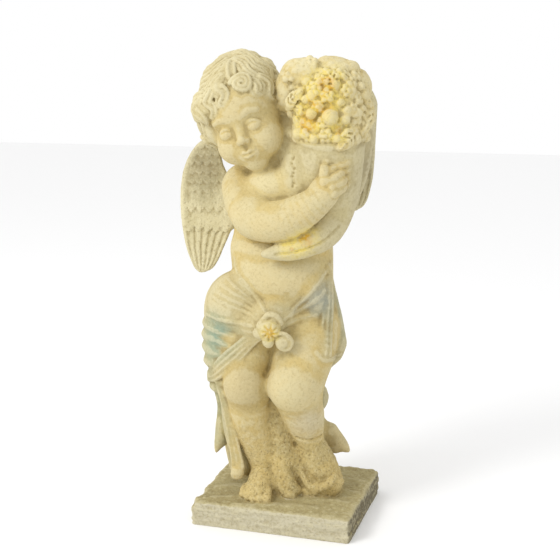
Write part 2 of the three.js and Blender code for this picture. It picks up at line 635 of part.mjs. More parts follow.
// Faces of one wedge, wound so that they look outwards.
function facet(wedge, corner, faces) {
  const into = wedge.filter((c) => c.value < 0);
  const out = wedge.filter((c) => c.value >= 0);
  if (into.length === 0 || out.length === 0) {
    return;
  }
  const order = wedge.map((c) => (c.value < 0 ? into.indexOf(c) : into.length + out.indexOf(c)));
  let swaps = 0;
  for (let a = 0; a < 4; a += 1) {
    for (let b = a + 1; b < 4; b += 1) {
      swaps += order[a] > order[b] ? 1 : 0;
    }
  }
  const push = (a, b, c) => faces.push(swaps % 2 ? [a, c, b] : [a, b, c]);
  if (into.length === 1) {
    push(corner(into[0], out[0]), corner(into[0], out[1]), corner(into[0], out[2]));
  } else if (into.length === 3) {
    push(corner(into[0], out[0]), corner(into[1], out[0]), corner(into[2], out[0]));
  } else {
    const ring = [corner(into[0], out[0]), corner(into[0], out[1]), corner(into[1], out[1]), corner(into[1], out[0])];
    push(ring[0], ring[1], ring[2]);
    push(ring[0], ring[2], ring[3]);
  }
}

// Keeps the largest connected piece.
function largest({ points, faces }) {
  const owner = points.map((_, i) => i);
  const find = (a) => {
    let root = a;
    while (owner[root] !== root) {
      owner[root] = owner[owner[root]];
      root = owner[root];
    }
    return root;
  };
  for (const [a, b, c] of faces) {
    owner[find(a)] = find(b);
    owner[find(b)] = find(c);
  }
  const sizes = new Map();
  for (const [a] of faces) {
    sizes.set(find(a), (sizes.get(find(a)) || 0) + 1);
  }
  const best = [...sizes].sort((p, q) => q[1] - p[1])[0][0];
  return { points, faces: faces.filter(([a]) => find(a) === best) };
}

// Across three points, as long as twice the area between them.
function faceNormal([a, b, c]) {
  return b.clone().sub(a).cross(c.clone().sub(a));
}

// 1 for a face with equal sides, near 0 for a sliver.
function roundness([a, b, c]) {
  const sides = a.distanceToSquared(b) + b.distanceToSquared(c) + c.distanceToSquared(a);
  return (2 * Math.sqrt(3) * faceNormal([a, b, c]).length()) / Math.max(sides, 1e-12);
}

// Joins edges, the flattest first, until few enough faces are left.
class Reducer {
  constructor({ points, faces }) {
    this.points = points.map((p) => new THREE.Vector3(...p));
    this.faces = faces;
    this.alive = faces.map(() => true);
    this.around = points.map(() => new Set());
    this.errors = points.map(() => new Float64Array(10));
    this.stamp = new Int32Array(points.length);
    this.heap = [];
    faces.forEach((face, f) => {
      const normal = faceNormal(face.map((c) => this.points[c]));
      const heavy = this.points[face[0]].z < PLINTH_HEIGHT + 1 ? 8 : 1;
      const area = (heavy * normal.length()) / 2;
      normal.normalize();
      const d = -normal.dot(this.points[face[0]]);
      const n = [normal.x, normal.y, normal.z, d];
      for (const corner of face) {
        this.around[corner].add(f);
        let slot = 0;
        for (let a = 0; a < 4; a += 1) {
          for (let b = a; b < 4; b += 1) {
            this.errors[corner][slot] += area * n[a] * n[b];
            slot += 1;
          }
        }
      }
    });
  }

  neighbours(a) {
    const found = new Set();
    for (const f of this.around[a]) {
      for (const corner of this.faces[f]) {
        if (corner !== a) {
          found.add(corner);
        }
      }
    }
    return found;
  }

  // Best place for the joined corner, and what it costs.
  plan(a, b) {
    const q = this.errors[a].map((v, i) => v + this.errors[b][i]);
    const middle = this.points[a].clone().add(this.points[b]).multiplyScalar(0.5);
    const hold = 1e-3 * (q[0] + q[4] + q[7]) + 1e-9;
    const m = new THREE.Matrix3().set(
      q[0] + hold, q[1], q[2],
      q[1], q[4] + hold, q[5],
      q[2], q[5], q[7] + hold,
    );
    const right = new THREE.Vector3(
      hold * middle.x - q[3],
      hold * middle.y - q[6],
      hold * middle.z - q[8],
    );
    const best = right.applyMatrix3(m.invert());
    const far = best.distanceTo(middle) > 2 * this.points[a].distanceTo(this.points[b]);
    const at = far ? middle : best;
    const cost = q[0] * at.x * at.x + q[4] * at.y * at.y + q[7] * at.z * at.z
      + 2 * (q[1] * at.x * at.y + q[2] * at.x * at.z + q[5] * at.y * at.z)
      + 2 * (q[3] * at.x + q[6] * at.y + q[8] * at.z) + q[9];
    const short = 1e-4 * this.points[a].distanceToSquared(this.points[b]);
    return { at, cost: Math.max(cost, 0) + short, sum: q };
  }

  fill() {
    this.heap = [];
    this.faces.forEach(([a, b, c], f) => {
      if (!this.alive[f]) {
        return;
      }
      for (const [p, q] of [[a, b], [b, c], [c, a]]) {
        if (p < q) {
          this.push(p, q);
        }
      }
    });
  }

  push(a, b) {
    const { cost } = this.plan(a, b);
    const item = { a, b, cost, stamps: [this.stamp[a], this.stamp[b]] };
    const heap = this.heap;
    let i = heap.length;
    heap.push(item);
    while (i > 0) {
      const up = (i - 1) >> 1;
      if (heap[up].cost <= item.cost) {
        break;
      }
      heap[i] = heap[up];
      i = up;
    }
    heap[i] = item;
  }

  pop() {
    const heap = this.heap;
    const top = heap[0];
    const item = heap.pop();
    if (heap.length > 0) {
      let i = 0;
      for (;;) {
        let down = 2 * i + 1;
        if (down >= heap.length) {
          break;
        }
        if (down + 1 < heap.length && heap[down + 1].cost < heap[down].cost) {
          down += 1;
        }
        if (heap[down].cost >= item.cost) {
          break;
        }
        heap[i] = heap[down];
        i = down;
      }
      heap[i] = item;
    }
    return top;
  }

  // True when no face that stays would turn over, or become thinner than the thinnest there now.
  keepsShape(a, b, at) {
    let thinnestBefore = 1;
    let thinnestAfter = 1;
    for (const corner of [a, b]) {
      for (const f of this.around[corner]) {
        const face = this.faces[f];
        const before = face.map((c) => this.points[c]);
        thinnestBefore = Math.min(thinnestBefore, roundness(before));
        if (face.includes(a) && face.includes(b)) {
          continue;
        }
        const after = face.map((c) => (c === corner ? at : this.points[c]));
        const turn = faceNormal(before).normalize().dot(faceNormal(after).normalize());
        if (turn < 0.3) {
          return false;
        }
        thinnestAfter = Math.min(thinnestAfter, roundness(after));
      }
    }
    return thinnestAfter > Math.min(0.12, thinnestBefore);
  }

  join(a, b) {
    const near = this.neighbours(a);
    const shared = [...this.neighbours(b)].filter((c) => near.has(c));
    if (shared.length !== 2) {
      return 0;
    }
    const { at: best, sum } = this.plan(a, b);
    const middle = this.points[a].clone().add(this.points[b]).multiplyScalar(0.5);
    const places = [best, middle, this.points[a].clone(), this.points[b].clone()];
    const at = places.find((place) => this.keepsShape(a, b, place));
    if (!at) {
      return 0;
    }
    this.points[a].copy(at);
    this.errors[a] = sum;
    let gone = 0;
    for (const f of [...this.around[b]]) {
      const face = this.faces[f];
      if (face.includes(a)) {
        this.alive[f] = false;
        gone += 1;
        face.forEach((c) => this.around[c].delete(f));
      } else {
        face[face.indexOf(b)] = a;
        this.around[a].add(f);
      }
    }
    this.around[b].clear();
    this.stamp[a] += 1;
    this.stamp[b] += 1;
    for (const c of this.neighbours(a)) {
      this.push(Math.min(a, c), Math.max(a, c));
    }
    return gone;
  }

  // Edges that couldn't be joined get another turn whenever a tenth of the faces has gone.
  reduce(limit) {
    let left = this.faces.length;
    let refill = Infinity;
    while (left > limit) {
      if (left < 0.9 * refill || this.heap.length === 0) {
        if (left === refill) {
          break;
        }
        refill = left;
        this.fill();
      }
      const { a, b, stamps } = this.pop();
      if (this.stamp[a] === stamps[0] && this.stamp[b] === stamps[1]) {
        left -= this.join(a, b);
      }
    }
    return this.faces.filter((_, f) => this.alive[f]);
  }
}

function buildStatue() {
  const reducer = new Reducer(largest(surface(sculpt())));
  const faces = reducer.reduce(FACE_LIMIT);
  const number = new Map();
  const coordinates = [];
  const indices = [];
  for (const face of faces) {
    for (const corner of face) {
      if (!number.has(corner)) {
        number.set(corner, number.size);
        const p = reducer.points[corner];
        coordinates.push(p.x, p.y, Math.abs(p.z) < 0.3 ? 0 : p.z);
      }
      indices.push(number.get(corner));
    }
  }
  const geometry = new THREE.BufferGeometry();
  geometry.setAttribute('position', new THREE.Float32BufferAttribute(coordinates, 3));
  geometry.setIndex(indices);
  geometry.computeVertexNormals();
  const stone = new THREE.MeshStandardMaterial({ color: 0xd9cca2, roughness: 0.9, metalness: 0 });
  const statue = new THREE.Mesh(geometry, stone);
  statue.name = 'angel_statue';
  return statue;
}

const root = new THREE.Group();
root.name = 'garden_angel';
root.add(buildStatue());

export default root;
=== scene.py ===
import math

import bpy
import numpy as np
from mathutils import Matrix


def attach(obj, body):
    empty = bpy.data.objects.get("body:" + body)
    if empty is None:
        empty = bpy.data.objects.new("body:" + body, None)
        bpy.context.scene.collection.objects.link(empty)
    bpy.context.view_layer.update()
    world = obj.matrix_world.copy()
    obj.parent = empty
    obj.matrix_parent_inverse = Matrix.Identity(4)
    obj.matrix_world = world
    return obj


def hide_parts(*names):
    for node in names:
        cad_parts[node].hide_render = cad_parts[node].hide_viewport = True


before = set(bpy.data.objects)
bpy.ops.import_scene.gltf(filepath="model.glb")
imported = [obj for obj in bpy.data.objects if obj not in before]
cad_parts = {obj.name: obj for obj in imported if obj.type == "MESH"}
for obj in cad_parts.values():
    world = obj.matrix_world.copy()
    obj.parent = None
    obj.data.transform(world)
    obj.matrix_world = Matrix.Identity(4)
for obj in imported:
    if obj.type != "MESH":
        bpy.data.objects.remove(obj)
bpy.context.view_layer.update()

import openvdb
from mathutils import Vector

PLINTH_WIDTH = 210
PLINTH_DEPTH = 184
PLINTH_HEIGHT = 32
PLINTH_EDGE = 5
FIGURE_HEIGHT = 568
FIGURE_TURN = 16.9

# The figure is laid out in hundredths of its own height: x to the viewer's right, y away from
# the viewer, z up from the top of the plinth.
UNIT = FIGURE_HEIGHT / 100
HEAD = (-9.7, -2.2, 86.6)
HEAD_TURN = (9, -20, -16)
HORN_MOUTH = 9.3
FRUIT_RADIUS = 2.0
FRUIT_COUNT = 90
# Turn in radians from one fruit to the next, which spreads them evenly over the heap.
GOLDEN_ANGLE = 2.39996
# The way into the stone from the front, for lines that are laid on its surface.
FRONT = (0, 1, 0)

# The hair is laid on an egg about the head, in the head's own place.
CAP_MIDDLE = np.array([0, 1.4, 2.6])
CAP_RADII = np.array([8.7, 9.4, 9.2])
LOCK_THICKNESS = 1.1
STRAND_RADIUS = 0.48

# Each wing by its outer and inner edge at some heights.
RIGHT_WING = [
    (49.0, -20.9, -19.8), (50, -22.0, -17.8), (52, -22.9, -16.4), (55, -23.9, -15.1),
    (59, -24.6, -13.4), (63, -25.0, -12.2), (67, -25.0, -12.0), (71, -24.6, -13.6),
    (74, -23.8, -15.0), (77, -22.3, -15.7), (79, -20.6, -16.8), (79.7, -19.2, -18.0),
]
LEFT_WING = [
    (63.5, 15.2, 13.2), (64.5, 17.0, 12.2), (66.5, 18.1, 11.4), (70.6, 19.1, 10.6),
    (75, 19.5, 10.2), (81, 19.7, 10.0), (86, 19.9, 10.0), (88.5, 19.8, 10.4),
    (91, 18.5, 11.4), (93, 16.6, 13.0),
]

# The lattice's pitch in millimetres, and the most faces that the mesh may have.
PITCH = 1.15
FACE_LIMIT = 196000
FAR = 1000.0
# Lines are laid on the surface by looking for it in steps of this size, in hundredths.
SEARCH_STEP = 0.12
# Points nearer to the ground than this, in millimetres, are set on it.
GROUND_GAP = 0.4

# What a patch of the surface is, for its colour, and how far its grain stands out.
GROUND, SKIN, HAIR, CLOTH, WING, HORN, FRUIT, STUMP = range(8)
KIND_NAMES = ("ground", "skin", "hair", "cloth", "wing", "horn", "fruit", "stump")
GRAIN = (0.35, 0.12, 0.16, 0.26, 0.28, 0.34, 1.15, 1.0)

# The photograph's width and the lens's focal length in its pixels, the sensor in millimetres,
# and where the camera stands and looks, in metres.
PHOTO_SIZE = 560
FOCAL_LENGTH = 1093
SENSOR_WIDTH = 36
CAMERA_PLACE = Vector((0.3885, -1.3195, 0.5811))
CAMERA_TARGET = Vector((-0.01135, -0.00345, 0.3088))


def turning(turn):
    """Rotation about x, then y, then z, in degrees."""
    a, b, c = (math.radians(t) for t in turn)
    rx = np.array([[1, 0, 0], [0, math.cos(a), -math.sin(a)], [0, math.sin(a), math.cos(a)]])
    ry = np.array([[math.cos(b), 0, math.sin(b)], [0, 1, 0], [-math.sin(b), 0, math.cos(b)]])
    rz = np.array([[math.cos(c), -math.sin(c), 0], [math.sin(c), math.cos(c), 0], [0, 0, 1]])
    return rz @ ry @ rx


def unit(v):
    v = np.asarray(v, float)
    return v / max(np.linalg.norm(v), 1e-9)


def between(a, b, t):
    return a + (b - a) * t


def step(value, low, high):
    """0 at low, 1 at high and beyond, smooth between them; low may be the larger."""
    t = np.clip((value - low) / (high - low), 0, 1)
    return t * t * (3 - 2 * t)


def across(out, up):
    """Two directions at right angles to out, to the side and upwards."""
    side = unit(np.cross(up, out))
    return side, np.cross(out, side)


def smoothed(rows, steps=4):
    """A smooth path through the rows: places, with sizes or directions in further columns."""
    rows = np.asarray(rows, float)
    if len(rows) < 3 or steps < 2:
        return rows
    path = []
    last = len(rows) - 1
    for i in range(last):
        p0, p1 = rows[max(i - 1, 0)], rows[i]
        p2, p3 = rows[i + 1], rows[min(i + 2, last)]
        for j in range(steps):
            t = j / steps
            curve = 2 * p1 + (p2 - p0) * t + (2 * p0 - 5 * p1 + 4 * p2 - p3) * t**2
            path.append(0.5 * (curve + (3 * p1 - p0 - 3 * p2 + p3) * t**3))
    path.append(rows[-1])
    return np.array(path)


def with_sizes(points, sizes):
    """Rows of a place and its size."""
    return np.column_stack([np.asarray(points, float), np.asarray(sizes, float)])


class Clay:
    """Distances to the surface on a lattice, negative inside, into which forms are blended."""

    def __init__(self, low, high, pitch):
        self.low = np.array(low, float)
        self.pitch = pitch
        self.count = tuple(int(math.ceil((h - l) / pitch)) + 1 for l, h in zip(low, high))
        self.field = np.full(self.count, FAR, np.float32)
        self.kind = np.zeros(self.count, np.uint8)

    def window(self, low, high):
        """The part of the lattice inside a box, and its coordinates, or None."""
        first = np.floor((np.asarray(low) - self.low) / self.pitch).astype(int)
        last = np.ceil((np.asarray(high) - self.low) / self.pitch).astype(int) + 1
        first = np.clip(first, 0, self.count)
        last = np.clip(last, 0, self.count)
        if (last <= first).any():
            return None
        cut = tuple(slice(a, b) for a, b in zip(first, last))
        axes = [self.low[i] + self.pitch * np.arange(first[i], last[i]) for i in range(3)]
        x, y, z = np.ix_(*[a.astype(np.float32) for a in axes])
        return cut, x, y, z

    def heights(self):
        """The height of each level of the lattice."""
        return self.low[2] + self.pitch * np.arange(self.count[2], dtype=np.float32)

    def add(self, cut, distance, blend, kind):
        old = self.field[cut]
        share = np.clip(0.5 + 0.5 * (old - distance) / blend, 0, 1)
        self.field[cut] = old + (distance - old) * share - blend * share * (1 - share)
        self.kind[cut] = np.where(share > 0.5, np.uint8(kind), self.kind[cut])

    def carve(self, cut, distance, blend):
        old = self.field[cut]
        share = np.clip(0.5 - 0.5 * (old + distance) / blend, 0, 1)
        self.field[cut] = old - (distance + old) * share + blend * share * (1 - share)

    def probe(self, places):
        """The distance at each place, between the lattice's own."""
        spot = (np.asarray(places, float) - self.low) / self.pitch
        first = np.clip(np.floor(spot).astype(int), 0, np.array(self.count) - 2)
        t = np.clip(spot - first, 0, 1)
        total = 0
        for corner in np.ndindex(2, 2, 2):
            weight = np.prod(np.where(corner, t, 1 - t), axis=-1)
            total = total + weight * self.field[tuple((first + corner).T)]
        return total


class Hand:
    """Works on the clay in a place of its own: eggs, ropes and more, added or carved away."""

    def __init__(self, clay, kind, origin=(0, 0, 0), turn=(0, 0, 0), scale=1.0, parent=None):
        self.clay = clay
        self.kind = kind
        self.carving = False
        self.origin = np.array(origin, float)
        self.rotation = turning(turn)
        self.scale = scale
        if parent is not None:
            self.origin = parent.places(origin)
            self.rotation = parent.rotation @ self.rotation
            self.scale = parent.scale * scale

    def other(self, kind=None, carving=False):
        """The same place with another kind of surface, or for carving."""
        hand = Hand(self.clay, self.kind if kind is None else kind)
        hand.origin, hand.rotation, hand.scale = self.origin, self.rotation, self.scale
        hand.carving = carving
        return hand

    def places(self, points):
        """Points of the hand's own place, in the clay's millimetres."""
        return self.origin + self.scale * np.asarray(points, float) @ self.rotation.T

    def work(self, cut, distance, blend):
        if self.carving:
            self.clay.carve(cut, distance, blend)
        else:
            self.clay.add(cut, distance, blend, self.kind)

    def egg(self, centre, radii, turn=(0, 0, 0), blend=1.0):
        c = self.places(centre)
        m = self.rotation @ turning(turn)
        r = self.scale * np.asarray(radii, float)
        soft = blend * self.scale
        reach = np.sqrt((m**2) @ (r**2)) + soft + 2 * self.clay.pitch
        found = self.clay.window(c - reach, c + reach)
        if found is None:
            return
        cut, x, y, z = found
        x, y, z = x - np.float32(c[0]), y - np.float32(c[1]), z - np.float32(c[2])
        m = m.astype(np.float32)
        q = [(m[0, i] * x + m[1, i] * y + m[2, i] * z) / np.float32(r[i]) for i in range(3)]
        away = np.sqrt(q[0] ** 2 + q[1] ** 2 + q[2] ** 2)
        slope = np.sqrt(sum((q[i] / np.float32(r[i])) ** 2 for i in range(3))) + 1e-6
        self.work(cut, away * (away - 1) / slope, soft)

    def ball(self, centre, radius, blend=1.0):
        self.egg(centre, (radius, radius, radius), blend=blend)

    def rope(self, points, radii, blend=1.0, flat=None, ratio=1.0, steps=4):
        """A round bar through the points, or a flattened one.

        It is thinner by ratio along flat, which is one direction or one for each point.
        """
        rows = with_sizes(self.places(points), self.scale * np.asarray(radii, float))
        if flat is not None:
            normals = np.broadcast_to(np.asarray(flat, float), (len(rows), 3)) @ self.rotation.T
            rows = np.column_stack([rows, normals])
        rows = smoothed(rows, steps)
        path, sizes = rows[:, :3], rows[:, 3]
        soft = blend * self.scale
        pad = sizes.max() + soft + 2 * self.clay.pitch
        found = self.clay.window(path.min(0) - pad, path.max(0) + pad)
        if found is None:
            return
        cut = found[0]
        nearest = np.full([s.stop - s.start for s in cut], FAR, np.float32)
        for i in range(len(path) - 1):
            a, d = path[i], path[i + 1] - path[i]
            reach = max(sizes[i], sizes[i + 1]) + soft + 2 * self.clay.pitch
            found = self.clay.window(np.minimum(a, a + d) - reach, np.maximum(a, a + d) + reach)
            if found is None:
                continue
            near, x, y, z = found
            inner = tuple(slice(s.start - o.start, s.stop - o.start) for s, o in zip(near, cut))
            x, y, z = x - np.float32(a[0]), y - np.float32(a[1]), z - np.float32(a[2])
            d = d.astype(np.float32)
            t = np.clip((x * d[0] + y * d[1] + z * d[2]) / max(float(d @ d), 1e-9), 0, 1)
            x, y, z = x - t * d[0], y - t * d[1], z - t * d[2]
            radius = np.float32(sizes[i]) + np.float32(sizes[i + 1] - sizes[i]) * t
            away2 = x * x + y * y + z * z
            if flat is None:
                distance = np.sqrt(away2) - radius
            else:
                n = unit(rows[i, 4:] + rows[i + 1, 4:]).astype(np.float32)
                off2 = (x * n[0] + y * n[1] + z * n[2]) ** 2
                stretched2 = np.maximum(away2 + (ratio**2 - 1) * off2, 1e-9)
                slope = np.sqrt((away2 + (ratio**4 - 1) * off2) / stretched2)
                distance = (np.sqrt(stretched2) - radius) / slope
            nearest[inner] = np.minimum(nearest[inner], distance)
        self.work(cut, nearest, soft)

    def draped(self, points, inward=FRONT, reach=9.0):
        """The points moved along inward onto the clay as it stands, and which of them met it."""
        points = np.asarray(points, float)
        ways = np.broadcast_to(np.asarray(inward, float), points.shape)
        steps = np.arange(-reach, reach, SEARCH_STEP)
        moved = []
        kept = []
        for i, way in enumerate(ways):
            line = points[i] + steps[:, None] * unit(way)
            inside = np.flatnonzero(self.clay.probe(self.places(line)) < 0)
            if len(inside):
                moved.append(line[inside[0]])
                kept.append(i)
        return np.array(moved), np.array(kept, int)

    def ridge(self, points, radii, blend=0.3, inward=FRONT, lift=0.0):
        """A raised line on the clay, or a groove when carving."""
        ways = np.broadcast_to(np.asarray(inward, float), np.asarray(points).shape)
        rows = smoothed(np.column_stack([with_sizes(points, radii), ways]))
        path, kept = self.draped(rows[:, :3], rows[:, 4:])
        if len(kept) < 2:
            return
        rows = rows[kept]
        # The line is broken off where it would leap from one form to another.
        planned = np.linalg.norm(np.diff(rows[:, :3], axis=0), axis=1)
        leaps = np.linalg.norm(np.diff(path, axis=0), axis=1) > 1.8 * planned + 0.6
        path = path - lift * np.array([unit(w) for w in rows[:, 4:]])
        for part in np.split(np.arange(len(path)), np.flatnonzero(leaps) + 1):
            if len(part) > 1:
                self.rope(path[part], rows[part, 3], blend, steps=1)

    def ribbon(self, points, outwards, widths, thick, ribs, radius, blend=0.3, soft=0.1):
        """A flat band along the path with raised ribs along it: a fold of cloth or a lock of hair."""
        rows = smoothed(np.column_stack([with_sizes(points, widths), np.asarray(outwards, float)]))
        path, widths = rows[:, :3], rows[:, 3]
        outs = np.array([unit(o) for o in rows[:, 4:]])
        self.rope(path, widths, blend, outs, max(widths) / thick, steps=1)
        ahead = np.gradient(path, axis=0)
        sides = np.array([unit(np.cross(a, o)) for a, o in zip(ahead, outs)])
        # The ribs lie across the band's rounded back, and thin out where it narrows.
        for k in range(ribs):
            share = 0.88 * (2 * k / (ribs - 1) - 1) if ribs > 1 else 0.0
            rise = 0.85 * thick * math.sqrt(1 - share**2)
            shape = (widths / max(widths))[:, None]
            line = path + sides * widths[:, None] * share + outs * rise * shape
            self.rope(line, radius * (0.45 + 0.55 * shape[:, 0]), soft, steps=1)

    def panel(self, edges, depth, relief, blend):
        """A thin upright sheet between two edges, its half thickness given by relief."""
        edges = np.asarray(edges, float)
        z_low, z_high = edges[0, 0] - 2, edges[-1, 0] + 2
        x_low, x_high = edges[:, 1:].min() - 2, edges[:, 1:].max() + 2
        y_ends = [depth(x_low), depth(x_high)]
        corners = [
            (x, y, z)
            for x in (x_low, x_high)
            for y in (min(y_ends) - 4, max(y_ends) + 4)
            for z in (z_low, z_high)
        ]
        corners = self.places(corners)
        cut, x, y, z = self.clay.window(corners.min(0), corners.max(0))
        m = self.rotation.astype(np.float32)
        x, y, z = (v - np.float32(o) for v, o in zip((x, y, z), self.origin))
        local = [(m[0, i] * x + m[1, i] * y + m[2, i] * z) / np.float32(self.scale) for i in range(3)]
        x, y, z = np.broadcast_arrays(*local)
        ring = np.concatenate([edges[:, [1, 0]], edges[::-1, [2, 0]]])
        ring = smoothed(np.concatenate([ring, ring[:1]]), 3)
        outline = ring_distance(ring, x, z)
        heights = edges[:, 0]
        outer, inner = np.interp(z, heights, edges[:, 1]), np.interp(z, heights, edges[:, 2])
        off = np.abs(y - depth(x)) - relief(x, z, outer, inner)
        soft = 0.55
        corner = np.sqrt(np.maximum(outline + soft, 0) ** 2 + np.maximum(off + soft, 0) ** 2)
        distance = corner - soft + np.minimum(np.maximum(outline, off) + soft, 0)
        self.work(cut, (0.9 * self.scale * distance).astype(np.float32), blend * self.scale)


def ring_distance(ring, x, z):
    """Distance in the plane to a closed line, negative inside it."""
    nearest = np.full(x.shape, 1e6, np.float32)
    inside = np.zeros(x.shape, bool)
    for (ax, az), (bx, bz) in zip(ring[:-1], ring[1:]):
        dx, dz = bx - ax, bz - az
        t = np.clip(((x - ax) * dx + (z - az) * dz) / max(dx * dx + dz * dz, 1e-9), 0, 1)
        nearest = np.minimum(nearest, (x - ax - t * dx) ** 2 + (z - az - t * dz) ** 2)
        if az != bz:
            crosses = (az > z) != (bz > z)
            inside ^= crosses & (x < ax + (z - az) / (bz - az) * dx)
    return np.where(inside, -1, 1) * np.sqrt(nearest)


def roughness(clay, cut, size, seed, stretch=(1, 1, 1)):
    """Smooth random lumps, about -1 to 1, on a part of the lattice; size is in millimetres."""
    shape = [s.stop - s.start for s in cut]
    sizes = [size * s for s in stretch]
    coarse = [int(n * clay.pitch / s) + 3 for n, s in zip(shape, sizes)]
    values = np.random.default_rng(seed).uniform(-1, 1, coarse).astype(np.float32)
    for axis, n in enumerate(shape):
        place = np.arange(n) * clay.pitch / sizes[axis]
        first = place.astype(int)
        t = (place - first).astype(np.float32)
        t = t * t * (3 - 2 * t)
        t = t.reshape([-1 if i == axis else 1 for i in range(3)])
        a, b = np.take(values, first, axis), np.take(values, first + 1, axis)
        values = a + (b - a) * t
    return values


def add_plinth(clay):
    """A rough slab with worn edges, a rounded back right corner and a stepped left edge."""
    half_w, half_d = PLINTH_WIDTH / 2, PLINTH_DEPTH / 2
    reach = 12
    cut, x, y, z = clay.window(
        (-half_w - reach, -half_d - reach, -reach),
        (half_w + reach, half_d + reach, PLINTH_HEIGHT + reach),
    )
    in_patches = np.where((x > 0) & (y > 0), 3.0 * PLINTH_EDGE, PLINTH_EDGE).astype(np.float32)
    past_side = np.maximum(np.abs(x) - half_w + in_patches, 0)
    past_end = np.maximum(np.abs(y) - half_d + in_patches, 0)
    wall = np.sqrt(past_side**2 + past_end**2) - in_patches
    inner = np.maximum(np.abs(x) - half_w, np.abs(y) - half_d)
    wall = np.where(inner < -in_patches, inner, wall)
    up = z - PLINTH_HEIGHT
    rounding = 4.0
    rim = np.sqrt(np.maximum(wall + rounding, 0) ** 2 + np.maximum(up + rounding, 0) ** 2)
    slab = np.minimum(np.maximum(wall, up) + rounding, 0) + rim - rounding
    # Layers show faintly along the sides, the rest is hewn and pitted.
    layers = roughness(clay, cut, 3.4, 21, (16, 16, 1.1)) * step(wall, -8, -2)
    broad = roughness(clay, cut, 16, 3, (1.6, 1, 0.8))
    small = roughness(clay, cut, 5, 4)
    fine = roughness(clay, cut, 2.6, 5)
    rough = 1.0 * broad + 1.1 * layers + 0.7 * small + 0.45 * fine
    clay.field[cut] = slab + 0.8 + rough * step(z, 0, 4)
    hand = Hand(clay, GROUND)
    top = PLINTH_HEIGHT
    ridges = [
        (-46, -66, 70), (24, -72, 60), (58, -44, 66), (-66, -34, 46),
        (70, -8, 44), (-70, 12, 40), (66, 34, 50), (0, -80, 90),
    ]
    for x0, y0, length in ridges:
        ends = [
            (x0 - length / 2, y0 - 5, top - 5.6),
            (x0, y0 + 3, top - 4.8),
            (x0 + length / 2, y0 + 6, top - 5.6),
        ]
        hand.rope(ends, (6, 6.6, 5), 5)
    # Pieces broken from the top edge.
    carve = hand.other(carving=True)
    left, front = -half_w, -half_d
    chips = [
        ((left - 3, front + 34, top), (9, 16, 13)),
        ((left - 2, front + 3, top + 2), (9, 11, 12)),
        ((left - 3, front + 78, top + 3), (7, 20, 9)),
        ((half_w + 1, 20, top + 3), (6, 26, 9)),
        ((half_w - 20, front - 3, top + 3), (16, 6, 8)),
        ((-30, front - 5, top + 2), (22, 7, 9)),
        ((half_w + 2, -50, top + 2), (6, 14, 8)),
    ]
    for centre, radii in chips:
        carve.egg(centre, radii, blend=3)
    # Cracks along the front and the back, then slanting ones down both sides.
    rng = np.random.default_rng(5)
    for height, start, end in ((22, -70, 30), (14, -20, 100), (9, -95, -10), (25, 40, 98), (6, 30, 96)):
        xs = np.linspace(start, end, 8)
        zs = height + rng.uniform(-1.4, 1.4, 8)
        for way, wall_y in ((1, front - 0.3), (-1, half_d)):
            crack = [(way * px, wall_y, pz) for px, pz in zip(xs, zs)]
            carve.rope(crack, [0.3] + [0.9] * 6 + [0.3], 1.2, steps=2)
    for i in range(9):
        y0 = between(front + 12, half_d - 24, i / 8)
        lean = rng.uniform(6, 16)
        carve.rope([(half_w, y0, top - 5), (half_w, y0 + lean, 5)], (1.6, 0.8), 1.6)
        carve.rope([(left, y0 + 6, top - 6), (left, y0 + 6 - lean, 5)], (1.2, 0.8), 1.6)


def add_legs(hand):
    """The child's right leg, at the viewer's left, carries the weight; the left knee is bent."""
    hand.rope([(-9, 0, 38), (-9.9, -3.6, 31), (-10, -5.6, 26.6)], (7.2, 5.7, 4.1), 1.5, steps=10)
    calf = [(-9.8, -5.2, 24.6), (-8.6, -3.6, 17.5), (-6.4, -3.2, 10), (-5.2, -3, 5.6)]
    hand.rope(calf, (4.1, 4.7, 4, 3.2), 3.5, steps=10)
    hand.egg((-9.9, -8, 27), (2.6, 2.2, 3), blend=3.5)
    hand.rope([(4, -0.5, 38), (3, -5, 32), (1.4, -7.8, 27.4)], (7.4, 6.8, 5.3), 1.5, steps=10)
    hand.rope([(1.4, -7.6, 25.2), (3.2, -6, 19), (4.6, -4.6, 12.6)], (5, 4.7, 2.9), 4, steps=10)
    hand.egg((0, -10.6, 27), (3.6, 2.6, 3.8), blend=3.5)
    carve = hand.other(carving=True)
    carve.rope([(-4.8, -9.4, 37), (-4.9, -8.8, 33), (-5.2, -8.4, 29)], (0.5, 0.6, 0.4), 0.8)
    # Rough stone between the shins, and a rough bundle over the left ankle and foot.
    stump = hand.other(STUMP)
    stump.rope([(-3.2, -0.6, 28), (-3, -2.8, 19), (-1.4, -4.4, 10), (-0.8, -5.4, 3)], (2.6, 3, 3.3, 3.8), 1)
    stump.rope([(4.8, -4.4, 11.8), (6, -4, 7), (6.8, -3.8, 2.5)], (3.1, 4.6, 5.6), 0.8, steps=8)
    carve.ridge([(1.6, -9, 14.3), (4.4, -9, 13.7), (7.4, -8, 14.2)], (0.25, 0.3, 0.25), 0.6)


